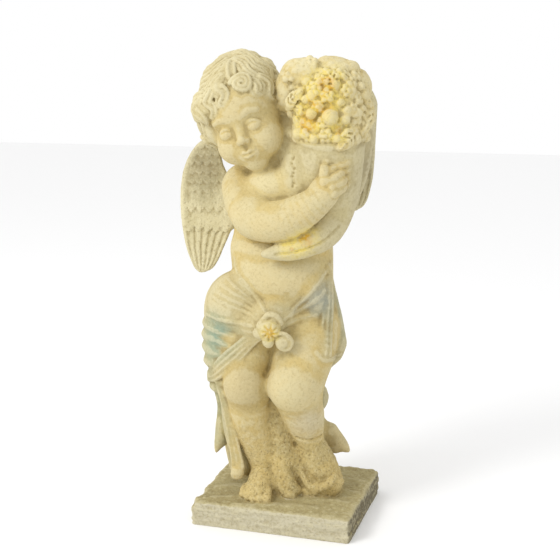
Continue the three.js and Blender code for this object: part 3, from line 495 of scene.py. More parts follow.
def add_feet(hand):
    """The feet on their stony ground, the left one under the rough bundle with its rolled hem."""
    hand.rope([(-4.8, -0.6, 2.6), (-6, -4.4, 3.4), (-7.2, -8, 2.1)], (3, 3.2, 2.3), 1, steps=8)
    hand.egg((-7.5, -7.6, 1.5), (3.7, 3.2, 1.8), (0, 0, 12), 1)
    toes = [
        (-5.2, -11.3, 1, 1.1), (-6.8, -11.4, 0.9, 0.85), (-8.2, -11, 0.9, 0.8),
        (-9.5, -10.3, 1, 0.75), (-10.6, -9.3, 1.3, 0.75),
    ]
    for x, y, z, size in toes:
        hand.rope([(x + 0.4, y + 2.4, z + 0.9), (x, y, z)], (size * 0.85, size), 0.35)
    hand.rope([(7.2, -5.5, 3.2), (9.8, -7.4, 2.8)], (3, 2.2), 0.8)
    for x, y, z in ((9.2, -8.8, 4.2), (10.6, -8, 3.4), (11.7, -6.6, 3.2)):
        hand.ball((x, y, z), 0.9, 0.35)
    hand.other(GROUND).egg((-1, 0, -1.2), (15, 12, 2.1), blend=1.5)
    stump = hand.other(STUMP)
    stump.egg((0, -6.6, 1), (2.6, 3.4, 4), (8, 0, 0), 1)
    stump.egg((-1.2, -3.6, 4.4), (3.2, 3, 7), (0, 6, 0), 1.2)
    # Hem of the bundle, rolled outwards, and folds beside it.
    hem = [
        (1.4, -10, 10.6), (2, -10, 7.6), (3.4, -11, 4.6), (4.8, -12, 2.9),
        (6.6, -12, 2.6), (8.6, -11, 3.4), (10.4, -9, 5),
    ]
    stump.ridge(hem, (0.4, 0.6, 0.8, 0.85, 0.85, 0.75, 0.4), 0.9, lift=0.1)
    inner = [(-1.6, -11, 8.4), (-0.4, -11, 5), (1, -12, 2.8), (3.4, -12, 1.5), (5.6, -13, 1.4)]
    stump.ridge(inner, (0.4, 0.7, 0.8, 0.7, 0.4), 0.9, lift=0.05)
    stump.ridge([(-2.4, -11, 3.4), (-1.2, -12, 1.8), (0.8, -12, 1)], (0.4, 0.6, 0.5), 0.9)
    carve = hand.other(carving=True)
    carve.ridge([(3.4, -12, 7), (4.6, -12, 5.2), (6.4, -12, 4.4), (8.4, -12, 5)], (0.2, 0.4, 0.4, 0.2), 0.8)
    carve.ridge([(0.8, -12, 7), (1.8, -12, 4.4), (3.2, -12, 2.8)], (0.2, 0.4, 0.3), 0.7)


def add_torso(hand):
    """Chest, belly, hips, shoulders, shoulder blades, seat, neck and the roll round the middle."""
    hand.egg((-1.6, 0.9, 64.5), (11.2, 7.6, 9.4), blend=2)
    hand.egg((-1.7, 0, 56), (11.5, 7.9, 8.5), blend=2.5)
    hand.egg((-1.4, -1.7, 50.6), (11.2, 8.9, 8.6), blend=2.5)
    hand.egg((-3.4, 0.2, 42), (12.6, 8.7, 8.8), (0, -5, 0), 2.5)
    hand.rope([(-9.6, 0.6, 70.3), (-2.5, 0.6, 72), (7.6, 1.2, 70.3)], (4.9, 4.4, 4.6), 2, steps=8)
    for side in (-1, 1):
        hand.egg((-1.4 + 4.4 * side, -5, 67.2), (4.4, 2.8, 3.6), blend=2)
        hand.egg((-1.2 + 5 * side, 6, 66.5), (4, 2.6, 5.4), (0, 8 * side, 0), 2)
        hand.egg((-2.8 + 6.2 * side, 5.2, 39), (6.6, 5.6, 7), blend=2)
    hand.egg((-3, -5.2, 70.4), (6.8, 4, 4.6), blend=2.5)
    hand.rope([(-2.8, 0.8, 71), (-5.2, -0.6, 78)], (5.4, 5.2), 2)
    hand.egg((-1.5, -3.4, 57), (9.8, 5.6, 3), blend=1.5)
    # Navel and the hollow of the spine.
    carve = hand.other(carving=True)
    carve.egg((-0.6, -10.9, 47.2), (0.5, 0.9, 0.65), blend=0.6)
    carve.rope([(-1.6, 8.6, 72), (-1.5, 8.4, 62), (-1.7, 8, 54)], (0.5, 0.6, 0.5), 2, steps=8)


def add_arms(hand):
    """The right arm comes across the chest to the horn, the left one is behind the horn."""
    right = [
        (-10, -0.6, 69.6), (-9.2, -5, 66.3), (-6.4, -9, 63.7),
        (-1.6, -10.9, 63.8), (3.4, -12.2, 66.4), (7.2, -12.9, 69.4),
    ]
    hand.rope(right, (5, 4.7, 4.5, 4.4, 3.7, 2.9), 1.0)
    hand.ball((-7.6, -7.6, 64.2), 4.4, 1.5)
    hand.rope([(8, 1.6, 69.4), (8.8, 2.2, 65), (8.6, 0.8, 61.4)], (4.5, 4, 3.6), 1.2)
    hand.rope([(8.6, 0.6, 61.6), (10, 0.4, 66), (11.2, 0, 71)], (3.6, 3.3, 2.7), 1.2)
    hand.egg((11.8, -0.3, 73.6), (2.4, 1.7, 3), (0, 10, 0), 0.8)


def add_hand(hand):
    """The hand lies flat on the horn, its short fingers spread to the right, the thumb upwards."""
    hand.egg((8.4, -12.4, 71.6), (3, 2.3, 3.4), (0, 35, 0), 1)
    hand.egg((6.6, -12.8, 70.4), (2.6, 2.2, 2.4), (0, 30, 0), 1)
    for finger in range(4):
        low = finger / 3
        path = [
            (between(8.8, 9.8, low), -16, between(74, 70, low)),
            (between(10.8, 11.5, low), -14, between(75.2, 70.9, low)),
            (between(12.4, 12.8, low), -12, between(76.1, 71.6, low)),
        ]
        hand.ridge(path, (1.05, 1.02, 0.78), 0.4, (-0.55, 1, 0), -0.4)
    thumb = [(7.2, -16, 72.4), (7.1, -16, 74.4), (7.6, -16, 76.3)]
    hand.ridge(thumb, (1.15, 1.05, 0.8), 0.5, lift=-0.35)


def add_face(hand):
    """A calm child's face on common proportions: eyes just below the middle of the head."""
    hand.egg((0, 1, 2.6), (8.4, 9.6, 9), blend=1)
    hand.egg((0, -2.6, -3.8), (7.1, 6.6, 7.9), blend=2.5)
    hand.egg((0, -6.3, -9.9), (2.3, 2.1, 2.0), blend=2)
    hand.egg((0, -5, 2), (6.2, 4.5, 4.8), blend=2)
    carve = hand.other(carving=True)
    for side in (-1, 1):
        hand.egg((3.7 * side, -5.4, -6.2), (3.2, 3.2, 3.3), blend=2)
        hand.egg((7.9 * side, 0.8, -3.4), (1, 1.8, 2.6), (10, 0, 0), 0.8)
        carve.egg((3.2 * side, -10.3, -2.5), (2.3, 1.3, 1.5), blend=1.5)
    # Brows, lids and eyeballs.
    for side in (-1, 1):
        brow = [(1.5 * side, -8.7, 0.1), (3.2 * side, -8.8, 0.7), (5 * side, -7.8, 0.2)]
        hand.rope(brow, (0.3, 0.42, 0.3), 1)
        upper = [
            (1.3 * side, -8.1, -2.8), (2.1 * side, -8.5, -1.85), (3.1 * side, -8.65, -1.5),
            (4.2 * side, -8.3, -1.85), (5 * side, -7.5, -2.9),
        ]
        hand.rope(upper, (0.14, 0.26, 0.3, 0.26, 0.14), 0.4)
        lower = [(1.5 * side, -8.1, -3.1), (3.1 * side, -8.4, -4.05), (4.8 * side, -7.5, -3.2)]
        hand.rope(lower, (0.14, 0.2, 0.14), 0.4)
        hand.egg((3.1 * side, -7.5, -2.75), (1.75, 1.65, 1.4), blend=0.12)
    # Nose and mouth.
    hand.rope([(0, -8.3, -1.4), (0, -8.9, -3.2), (0, -9.8, -4.7)], (0.55, 0.6, 0.9), 1)
    for side in (-1, 1):
        hand.ball((0.85 * side, -9.3, -5.05), 0.6, 0.5)
        carve.egg((0.4 * side, -9.85, -5.75), (0.25, 0.4, 0.25), blend=0.3)
    hand.egg((0, -8.2, -7.7), (1.9, 1, 1.5), blend=1.6)
    top = [(-1.25, -9, -7.65), (-0.5, -9.4, -7.3), (0, -9.4, -7.45), (0.5, -9.4, -7.3), (1.25, -9, -7.65)]
    hand.rope(top, (0.16, 0.38, 0.36, 0.38, 0.16), 0.5)
    hand.rope([(-0.85, -9.05, -8.15), (0, -9.4, -8.45), (0.85, -9.05, -8.15)], (0.24, 0.5, 0.24), 0.5)
    carve.rope([(-1.3, -9.3, -7.8), (0, -9.85, -7.9), (1.3, -9.3, -7.8)], (0.1, 0.16, 0.1), 0.35)
    carve.egg((0, -9.7, -6.6), (0.3, 0.35, 0.4), blend=0.8)
    carve.egg((0, -9.7, -9.4), (0.9, 0.4, 0.25), blend=1)


def on_hair(hand, around, up, lift):
    """A point on the hair as it stands and the direction outwards, from two angles in degrees."""
    a, e = math.radians(around), math.radians(up)
    direction = np.array([math.sin(a) * math.cos(e), -math.cos(a) * math.cos(e), math.sin(e)])
    out = unit(direction / CAP_RADII)
    cap = CAP_MIDDLE + direction * CAP_RADII
    # The hair stands further out from the egg at the viewer's left.
    reach = 3.0 if around < 0 else 1.0
    steps = np.arange(reach, -1.5, -0.1)
    inside = np.flatnonzero(hand.clay.probe(hand.places(cap + steps[:, None] * out)) < 0)
    far = steps[inside[0]] if len(inside) and inside[0] > 0 else 0.0
    return cap + (far + lift) * out, out


def laid_along(out):
    """Degrees about x, y and z that lay the z axis of an egg along a direction."""
    around = math.degrees(math.atan2(out[1], out[0]))
    tilt = math.degrees(math.acos(max(-1, min(1, out[2]))))
    return (0, tilt, around)


def add_curl(hand, around, up, size, spin, turn):
    """A lock wound in on itself, lying on the hair; turn is 1 or -1 for the way it winds."""
    centre, out = on_hair(hand, around, up, -0.3)
    side, rise = across(out, (0, 0, 1))
    hand.egg(centre, (size * 0.9, size * 0.9, size * 0.38), laid_along(out), 0.3)
    coils = size * 0.86 / 0.98
    count = int(16 * coils)
    path = []
    for i in range(count + 1):
        t = i / count
        a = math.radians(spin + turn * 360 * coils * t)
        far = size * between(0.86, 0.12, t) * (1 + 0.07 * math.sin(3 * a + spin))
        lift = size * 0.4 * math.sqrt(max(0, 1 - (far / size) ** 2)) + 0.08
        path.append(centre + side * math.cos(a) * far + rise * math.sin(a) * far * 0.88 + out * lift)
    hand.rope(path, np.linspace(0.55, 0.42, count + 1), 0.08, steps=1)


def add_lock(hand, stops, strands=4):
    """A wavy lock lying on the hair; stops are (around, up, half width)."""
    points, outs = zip(*[on_hair(hand, around, up, -0.35) for around, up, half in stops])
    widths = [half for around, up, half in stops]
    hand.ribbon(points, outs, widths, LOCK_THICKNESS, strands, STRAND_RADIUS, soft=0.08)


def add_hair(hand):
    """Wavy locks and curls over the whole head, each set on those that are there already."""
    hand.egg((0, 2.4, 3), (8.5, 9.2, 9.2), blend=0.8)
    hand.egg((-6.6, 0.6, -1.6), (2.5, 4.4, 5.2), blend=0.8)
    hand.egg((-7.4, -1, -0.4), (2.7, 5, 4.8), (0, 0, 14), 0.8)
    hand.egg((-5.4, -4.4, 3.6), (3.4, 4.4, 3.4), blend=0.8)
    # Sweeps from the crown to the viewer's left.
    add_lock(hand, [(60, 76, 0.8), (4, 82, 1.6), (-40, 64, 1.9), (-78, 56, 1.8), (-84, 32, 0.8)])
    add_lock(hand, [(34, 66, 0.8), (4, 66, 1.5), (-30, 50, 1.9), (-60, 44, 1.9), (-74, 24, 0.8)])
    add_lock(hand, [(20, 56, 0.8), (-2, 50, 1.5), (-26, 36, 1.7), (-48, 32, 1.7), (-62, 16, 0.7)])
    add_lock(hand, [(2, 42, 0.8), (-12, 34, 1.4), (-28, 21, 1.5), (-44, 18, 1.3), (-56, 6, 0.5)])
    # Locks over the forehead.
    add_lock(hand, [(4, 38, 0.9), (-8, 26, 1.5), (-2, 16, 1.3), (-9, 8, 0.9), (-3, 3, 0.4)], 3)
    add_lock(hand, [(-16, 24, 0.9), (-27, 14, 1.4), (-21, 4, 1.1), (-28, -4, 0.4)], 3)
    add_lock(hand, [(-34, 20, 0.8), (-44, 9, 1.4), (-37, -2, 1.2), (-46, -10, 0.4)], 3)
    # Side of the head at the viewer's left, down to the jaw.
    add_lock(hand, [(-62, 22, 0.9), (-72, 8, 1.6), (-62, -6, 1.6), (-72, -20, 1.3), (-64, -30, 0.6)])
    add_lock(hand, [(-86, 24, 0.9), (-94, 6, 1.7), (-84, -10, 1.7), (-94, -26, 1.5), (-84, -40, 0.7)])
    add_lock(hand, [(-104, 34, 0.9), (-112, 16, 1.8), (-102, -2, 1.8), (-112, -20, 1.6), (-102, -36, 0.8)])
    add_curl(hand, -58, 2, 1.9, 30, 1)
    add_curl(hand, -72, -26, 1.7, 200, -1)
    add_curl(hand, -88, -34, 1.8, 10, -1)
    add_curl(hand, -82, 8, 2.2, 20, -1)
    # Front curl and the tufts beside it.
    add_lock(hand, [(30, 64, 0.8), (16, 50, 1.4), (12, 36, 1.4), (16, 24, 0.6)], 3)
    add_curl(hand, 25, 21, 2.7, 150, -1)
    add_lock(hand, [(36, 62, 0.8), (46, 48, 1.5), (44, 34, 1.5), (52, 20, 1.1), (44, 10, 0.4)])
    add_lock(hand, [(46, 70, 0.8), (64, 54, 1.6), (60, 38, 1.6), (70, 22, 1.2), (60, 8, 0.5)])
    add_lock(hand, [(70, 76, 0.8), (90, 58, 1.6), (80, 40, 1.6), (90, 24, 1.2), (78, 10, 0.5)])
    add_lock(hand, [(30, 22, 0.9), (40, 14, 1.4), (38, 5, 1.1), (46, -2, 0.4)], 3)
    add_lock(hand, [(54, 20, 0.9), (62, 8, 1.5), (56, -4, 1.3), (64, -14, 0.5)], 3)
    add_curl(hand, 84, -12, 2.1, 40, 1)
    add_curl(hand, 86, -32, 1.9, 100, -1)
    # A whorl from the crown, then wavy tufts in rows down the back of the head.
    for i in range(6):
        around = 112 + 28 * i
        stops = ((-24, 84, 0.8), (-10, 68, 1.9), (-18, 52, 1.9), (-4, 38, 0.8))
        add_lock(hand, [(around + turn, up, half) for turn, up, half in stops])
    for row, (up, count) in enumerate([(34, 7), (13, 7), (-8, 6), (-28, 6)]):
        sway = 8 if row % 2 else -8
        stops = ((0, 8, 0.8), (sway, -3, 1.9), (-sway, -14, 1.7), (sway, -24, 0.6))
        for i in range(count):
            around = between(114, 240, i / (count - 1)) + 9 * (row % 2) - 4 + 4 * math.sin(5 * i + row)
            add_lock(hand, [(around + turn, up + rise, half) for turn, rise, half in stops])


def add_horn(hand):
    """A swelling body held upright, bent under the wrist and drawn out to a point."""
    path = [
        (8.4, -5.2, 83), (8.2, -5.8, 78), (8.4, -5.8, 72), (9, -6.2, 65.6), (7.4, -8.4, 61),
        (3.6, -10.4, 58.8), (0, -11.3, 57.6), (-3, -11.8, 57), (-5.4, -12, 56.8),
    ]
    radii = (HORN_MOUTH - 1.2, 7.9, 7.1, 5, 3.7, 3, 2.4, 1.6, 0.8)
    hand.rope(path, radii, 0.8, (0, 1, 0), 1.15, steps=8)
    hand.egg((1.6, -1.4, 77), (4.2, 4, 6.4), blend=1.2)
    # Stone left between the horn, the neck and the wing behind.
    hand.rope([(12.4, 1.4, 66.5), (13.6, 1.2, 74), (13.8, 0.6, 83)], (2.8, 4.2, 5), 2.5, steps=8)
    beside = [(0.8, -3.2, 89), (0.8, -3.6, 84), (0.4, -5, 79.5), (1, -6.6, 74), (1.4, -7, 69)]
    hand.rope(beside, (2.2, 2.6, 2.6, 2.7, 2.4), 1.8, steps=8)
    # The rim, tilted forwards.
    rim = HORN_MOUTH - 0.8
    ring = []
    for i in range(25):
        a = i * math.pi / 12
        ring.append((8.4 + rim * math.sin(a), -5.7 - rim * 0.8 * math.cos(a), 83 - 3.6 * math.cos(a)))
    hand.rope(ring, [0.3] * len(ring), 1.0, steps=2)
    # A shallow furrow along the tail, and a line of uneven pits beside the neck.
    carve = hand.other(carving=True)
    line = [(10.4, -14, 62.4), (7.2, -14, 59.6), (3.4, -14, 58), (0, -14, 57.2), (-3, -14, 56.9)]
    carve.ridge(line, (0.1, 0.16, 0.16, 0.12, 0.08), 0.6)
    rng = np.random.default_rng(8)
    for height in np.linspace(70.6, 77.4, 11):
        place = (0.8 + rng.uniform(-0.4, 0.4), -12, height + rng.uniform(-0.4, 0.4))
        for pit in hand.draped([place])[0]:
            carve.ball(pit, rng.uniform(0.15, 0.36), 0.35)


def add_fruit(hand):
    """Fruit, blossom and leaves run together in a heap in the mouth of the horn."""
    heap, half = np.array([8.3, -6, 88]), np.array([8.4, 6.6, 8.4])
    hand.egg(heap, half, blend=1)
    hand.egg((3.2, -6.6, 94.2), (5.2, 3.8, 3.7), (0, 12, 0), 0.8)
    hand.egg((-0.2, -5.2, 91), (3, 3.4, 5), blend=0.8)
    hand.egg((9.2, -5.6, 94.8), (5, 4, 3.4), blend=0.8)
    hand.egg((14.2, -4.6, 91.6), (3.4, 3.8, 4.2), blend=0.8)
    hand.egg((8.2, -8.4, 83.2), (7.4, 4.2, 3.6), blend=1)
    # Large fruits by place and size, then small ones, blossoms and berries in turn.
    large = [
        (8.3, -12.6, 85.8, 0.9), (1.8, -10.6, 82.2, 0.65), (12.9, -6.4, 95.4, 1.0), (15.2, -5.4, 92.6, 0.95),
        (15.4, -8.2, 90, 0.8), (7.6, -6.6, 96.6, 0.9), (12.4, -10.4, 90.8, 0.8), (4.6, -11.6, 90, 0.6),
        (11.8, -11.4, 87, 0.65), (16.4, -6.6, 87, 0.8), (13.4, -10.4, 86.6, 0.75), (4.4, -12.4, 86.4, 0.6),
    ]
    for x, y, z, size in large:
        hand.ball((x, y, z), size * FRUIT_RADIUS, 0.45)
    for i in range(FRUIT_COUNT):
        z = between(0.95, -0.86, i / (FRUIT_COUNT - 1))
        a = i * GOLDEN_ANGLE
        flat = math.sqrt(1 - z * z)
        out = np.array([flat * math.sin(a), -flat * math.cos(a), z])
        p = heap + half * out
        size = FRUIT_RADIUS * between(0.36, 0.62, (i * 3 % 5) / 4)
        if i % 3 == 1:
            add_blossom(hand, p, out, size * 1.6)
        elif i % 3 == 2:
            add_berries(hand, p, out, size * 1.5)
        else:
            hand.ball(p, size, 0.4)
    # The lowest row spills over the rim of the horn.
    for i in range(9):
        a = math.radians(between(-56, 76, i / 8))
        out = np.array([math.sin(a), -math.cos(a), -0.25])
        p = np.array([8.3 + 8.3 * math.sin(a), -5.8 - 6.9 * math.cos(a), 81.3 + 0.7 * (i % 2)])
        if i % 2:
            add_berries(hand, p, out, 1.5)
        else:
            hand.ball(p, 1.05, 0.5)
    # Blossoms at the upper left.
    for k, (x, z) in enumerate(((-0.4, 94.4), (1.6, 96), (4.2, 96.8), (1, 92.6), (3.6, 94.2))):
        add_blossom(hand, np.array([x, -9.2 + 0.2 * k, z]), unit((-0.2, -1, 0.5)), 1.7)
    # Leaves: a broad one at the lower right and small ones.
    add_leaf(hand, [(13.8, -10.8, 83), (11.9, -12.4, 81), (10.4, -12.8, 79.2)], 1.7, (0.35, -1, -0.1))
    add_leaf(hand, [(15.6, -9.8, 83), (16.8, -8.8, 86), (16.6, -7.8, 89.4)], 1.7, (0.6, -1, 0.1))
    add_leaf(hand, [(9.6, -11.6, 91.4), (8.6, -11.2, 93.6), (7.4, -10, 95.4)], 1.5, (0, -1, 0.4))
    add_leaf(hand, [(-0.4, -9.4, 87.6), (0.6, -10.4, 89.6), (2.4, -10.8, 91)], 1.4, (-0.4, -1, 0.2))


def add_blossom(hand, p, out, size):
    """Five round petals about a button."""
    side, rise = across(out, (0, 0.2, 1))
    for k in range(5):
        a = 2 * math.pi * k / 5 + 0.4
        petal = p + (side * math.cos(a) + rise * math.sin(a)) * size * 0.62
        hand.egg(petal, (size * 0.44, size * 0.44, size * 0.36), laid_along(out), 0.35)
    hand.ball(p + out * size * 0.25, size * 0.28, 0.25)


def add_berries(hand, p, out, size):
    """Six small round berries in a ring, and one in the middle."""
    side, rise = across(out, (0, 0.2, 1))
    for k in range(7):
        a = 2 * math.pi * k / 6
        far = 0 if k == 6 else size * 0.68
        lift = size * (0.35 if k == 6 else 0.1)
        berry = p + (side * math.cos(a) + rise * math.sin(a)) * far + out * lift
        hand.ball(berry, size * 0.4, 0.35)


def add_leaf(hand, path, width, out):
    """A pointed leaf along the path, with a midrib and side veins."""
    path = np.asarray(path, float)
    hand.rope(path, (width * 0.6, width, width * 0.35), 0.35, out, 2.6)
    n = unit(out)
    hand.rope(path + n * width * 0.34, (0.25, 0.3, 0.15), 0.35)
    along = unit(path[2] - path[0])
    side = unit(np.cross(along, n))
    carve = hand.other(carving=True)
    for k in range(1, 4):
        root = between(path[0], path[2], k / 4.5) + n * width * 0.6
        for s in (-1, 1):
            end = root + along * width * 0.4 + s * side * width * 0.7 - n * 0.2
            carve.rope([root + 0.3 * s * side, end], (0.16, 0.16), 0.4)


def feathers(low, high):
    """Half thickness of a wing: long feathers below, rows of short ones over them, a thick edge."""
    # Each row by the height of its tips, as a share of the wing's, its feathers' width and how
    # far they stand out. The first two rows are of middling feathers.
    rows = [(0.33, 2.15, 0.45), (0.48, 2.05, 0.4)]
    rows += [(tip, 1.8, 0.3) for tip in (0.62, 0.69, 0.76, 0.83, 0.89, 0.95)]

    def relief(x, z, outer, inner):
        width = np.abs(outer - inner) + 0.01
        u = np.abs(x - inner) / width
        v = (z - low) / (high - low)
        # Long feathers side by side, each lapping over the next, with a shaft.
        a = (6.5 * u + 0.35 * v) % 1
        height = 0.72 + 0.4 * (1 - a) * step(a, 0, 0.16) + 0.12 * np.exp(-(((a - 0.5) / 0.09) ** 2))
        for k, (tip, wide, rise) in enumerate(rows):
            b = (np.abs(x - inner) / wide + 0.5 * (k % 2)) % 1
            bend = 1.1 if k < 2 else 0.75
            above = z - (between(low, high, tip) + bend * (2 * b - 1) ** 2 * 1.2 - 0.5)
            fall = np.exp(-np.maximum(above, 0) / (4.5 if k < 2 else 2.0))
            own = 0.78 + 0.035 * k + rise * fall - 0.12 * (2 * b - 1) ** 6
            own = own + 0.1 * np.exp(-(((b - 0.5) / 0.1) ** 2)) * (k < 2)
            height = between(height, own, step(above, -0.08, 0.08))
        edge = np.abs(outer - x)
        rolled = np.exp(-(((edge - 0.75) / 0.75) ** 2)) * step(v, 0.2, 0.45)
        calm = step(edge, 0.9, 1.7)
        height = between(between(height, 0.85, step(v, 0.2, 0.45)), height, calm)
        return height + 0.5 * rolled

    return relief


def add_wings(hand):
    """Both wings, which lie further back towards their outer edges, and their roots in the back."""

    def depth(x):
        return 7.2 + 0.16 * (np.abs(x) - 13)

    for edges in (RIGHT_WING, LEFT_WING):
        hand.panel(edges, depth, feathers(edges[0][0], edges[-1][0]), 0.35)
    roots = [
        [(-13.6, 8.2, 67.6), (-9, 7, 66.4), (-4.5, 5.4, 66)],
        [(-13, 8.2, 62), (-9, 6.8, 63), (-4.5, 5, 63.5)],
        [(12.6, 8.2, 78), (8.6, 7, 71), (3.6, 5.6, 66)],
        [(12.6, 8, 70), (8.6, 6.8, 67), (3.6, 5, 64)],
    ]
    for path in roots:
        hand.rope(path, (2.6, 3.2, 2.8), 1.4, (0, -1, 0), 1.6)


def add_cloth(hand):
    """Cloth wound round the hips, knotted in front and hanging behind the legs to the ground."""
    hand.egg((-11, 0.2, 42.6), (8.2, 8.2, 8.4), blend=1.5)
    hand.egg((-11.4, -4, 44.6), (6, 5.4, 6.6), (0, -30, 0), 1.5)
    hand.rope([(-12.6, 0.6, 40), (-13.2, 0.8, 33), (-12.6, 1.4, 26)], (6.4, 6.2, 5.2), 1.5, steps=8)
    hand.rope([(4.8, 2, 46), (6.6, 3, 38), (8.4, 3.4, 32.8)], (4.4, 4.9, 4.4), 1.5, steps=8)
    hand.egg((5.4, -3.2, 47), (4.2, 6, 6.6), (0, -18, 0), 1.8)
    hand.egg((-5.2, -6.8, 41.6), (6.4, 4.4, 4.4), (0, -20, 0), 2)
    # Back sheet in folds, from one side to the other, drawn in below the knees at the right.
    folds = 6
    for i in range(folds):
        t = i / (folds - 1)
        x = between(-13.8, 7, t)
        y = 5.4 + 1.8 * math.sin(math.pi * t)
        path = [
            (x, y, 40), (x - 3 * t, y + 0.4, 24),
            (x - 3 * t, y, 16), (between(-11.4, 8.4, t), y - 0.4, 3),
        ]
        hand.rope(path, (4.4, 3.2, 2.8, 2.8), 0.8, steps=8)
    # Stone left between the left leg and the sheet.
    hand.rope([(6.2, 0.6, 31), (4.6, -0.4, 21), (5.4, 0.4, 9)], (3.2, 3, 3), 1.5, steps=8)
    # Uneven folds over the back sheet.
    for i in range(8):
        t = (i + 0.35 * math.sin(2.3 * i)) / 7
        sway = 0.9 * math.sin(1.7 * i)
        x = between(-15, 8.6, t)
        low = between(-12.6, 9, t)
        path = [
            (x + sway, 16, 45 - 6 * abs(t - 0.5)), (x - 2.4 * t, 16, 34), (x - 2.4 * t - sway, 16, 23),
            (low - 3.4 * t + sway, 16, 12), (low, 16, 2.8),
        ]
        wide = 0.85 + 0.3 * math.sin(2.9 * i)
        hand.ridge(path, (0.3, wide, 0.75 * wide, wide, 1.25 * wide), 1.1, (0, -1, 0), -0.25)
    # Falling edges at both sides, each with a flared corner.
    left = [(-15, 1.6, 25), (-14.7, 1.6, 19), (-15.2, 1.4, 13.4), (-15.5, 1.2, 10.4)]
    hand.rope(left, (3, 2, 1.9, 1.4), 0.8, steps=8)
    hand.rope([(-14.8, 0.6, 15), (-16.2, 0.4, 10.2), (-16.9, 0.4, 8)], (1.7, 1.2, 0.4), 0.8)
    hand.rope([(-14, -1.6, 25), (-13.3, -2, 16), (-12.6, -2.2, 10.4)], (2, 2, 1.6), 0.8, steps=8)
    right = [(9.2, 3.4, 31.4), (4.6, 3.2, 25), (6.6, 3, 20.4), (5, 3, 16.6), (8, 3.2, 11.8), (11, 3.4, 8.4)]
    hand.rope(right, (3.4, 2.4, 2.7, 2.4, 2.3, 2), 0.8, steps=6)
    hand.rope([(9.6, 3, 12), (12.4, 2.6, 8.8), (13.9, 2.4, 7.4)], (2, 1.5, 0.5), 0.8)
    add_strip(hand)
    add_sash(hand)
    add_side_folds(hand)


def add_strip(hand):
    """A narrow fold hanging beside the right shin, its end rolled into a small knob."""
    strip = [(-15.4, -3.4, 26), (-14, -4.4, 19.4), (-12.6, -5.2, 12.4), (-11.5, -5.6, 6.4)]
    hand.ribbon(strip, [(-0.3, -1, 0)] * 4, (1.1, 0.9, 1.05, 1.3), 0.9, 2, 0.42, 0.6, 0.25)
    hand.egg((-11.9, -5.8, 4.8), (1.5, 1.2, 1.4), blend=1)
    hand.other(carving=True).ball((-12.5, -7, 4.5), 0.3, 0.5)


def add_sash(hand):
    """Fine folds drawn over both hips to the knot, and a pleated band round the right thigh."""
    lines = [
        [(-12.8, -6, 54.6), (-11.6, -7, 51.8), (-8.6, -10, 48.1), (-5.2, -11.5, 43.6)],
        [(-12.8, -6.5, 51.6), (-10.6, -9, 48.8), (-8, -10.6, 46.2), (-5.4, -11.5, 43.2)],
        [(-14.5, -6, 48.9), (-11, -9.4, 46.8), (-8.4, -10.6, 44.9), (-5.8, -11.5, 42.4)],
        [(-16.4, -5, 46.2), (-12.4, -8.5, 44.6), (-9, -10.8, 43.2), (-6.2, -11.5, 41.6)],
    ]
    halfway = [between(np.array(a), np.array(b), 0.5) for a, b in zip(lines, lines[1:])]
    for line in [*lines, *halfway]:
        hand.ridge(line, (0.2, 0.28, 0.3, 0.3), 0.4, (0.25, 1, 0), -0.12)
    # Lower edge of the wound cloth, standing a little proud.
    edge = [(-18, -3, 41.6), (-14.4, -8, 41.2), (-10.6, -10, 40.9), (-6.6, -11.5, 40.4)]
    hand.ridge(edge, (0.4, 0.5, 0.5, 0.4), 0.5, (0.35, 1, 0), -0.12)
    # Ruffled folds below it round the hip and thigh at the left; the lower ones start further back.
    ruffles = ((-18.6, 38.9), (-18.6, 36.2), (-18.2, 33.4), (-17.6, 30), (-16.6, 26.6), (-15.8, 23.8))
    for i, (x, z) in enumerate(ruffles):
        path = [
            (-13.4, -9, z - 1.4), (x + 1.6, -4.4, z - 0.6 + 0.4 * (i % 2)),
            (x, 0.6, z), (x + 1.4, 5.6, z + 0.6),
        ]
        sizes = (0.2, 0.6, 0.9 + 0.15 * (i % 2), 0.5)
        start = 0 if i < 3 else 1
        hand.rope(wrapped(hand, path[start:]), sizes[start:], 0.9)
    # The pleated band from the knot down round the thigh.
    band = [
        (-6, -11.8, 38.9), (-9, -11.6, 36.9), (-12.4, -10.4, 33.9),
        (-15.4, -7.6, 30.7), (-17.2, -3.2, 27.8), (-17.2, 1.2, 26),
    ]
    inward = np.array([(0.1, 1, 0), (0.15, 1, 0), (0.3, 1, 0), (0.7, 1, 0), (1, 0.3, 0), (1, 0, 0)], float)
    laid, kept = hand.draped(band, inward)
    widths = np.array([0.8, 1.3, 1.7, 1.8, 1.6, 1.1])[kept]
    hand.ribbon(laid, -inward[kept], widths, 0.5, 4, 0.42, 0.6, 0.3)
    # Edge over the hip at the right, and soft folds under it.
    way = (-0.2, 1, 0)
    edge = [(-1.2, -11, 41.8), (1.8, -10.5, 44.4), (5.3, -9, 48.7), (7.4, -6, 51.6), (9.2, -3, 53.4)]
    hand.ridge(edge, (0.36, 0.4, 0.38, 0.38, 0.35), 0.5, way, -0.12)
    hand.ridge([(0.6, -11, 42.6), (4, -9.4, 44.6), (7.4, -7, 48)], (0.22, 0.3, 0.24), 0.7, way, -0.12)
    hand.ridge([(-1.4, -12, 40.4), (2.2, -11, 41.6), (6, -9.4, 42.4)], (0.3, 0.34, 0.26), 0.9, way, -0.15)


def wrapped(hand, path):
    """A path laid against the clay from the left side and the front, a little sunk."""
    path = np.asarray(path, float)
    inward = np.array([-9, 0.5, 0]) - path * (1, 1, 0)
    laid, kept = hand.draped(path, inward)
    return laid + 0.3 * np.array([unit(way) for way in inward[kept]])


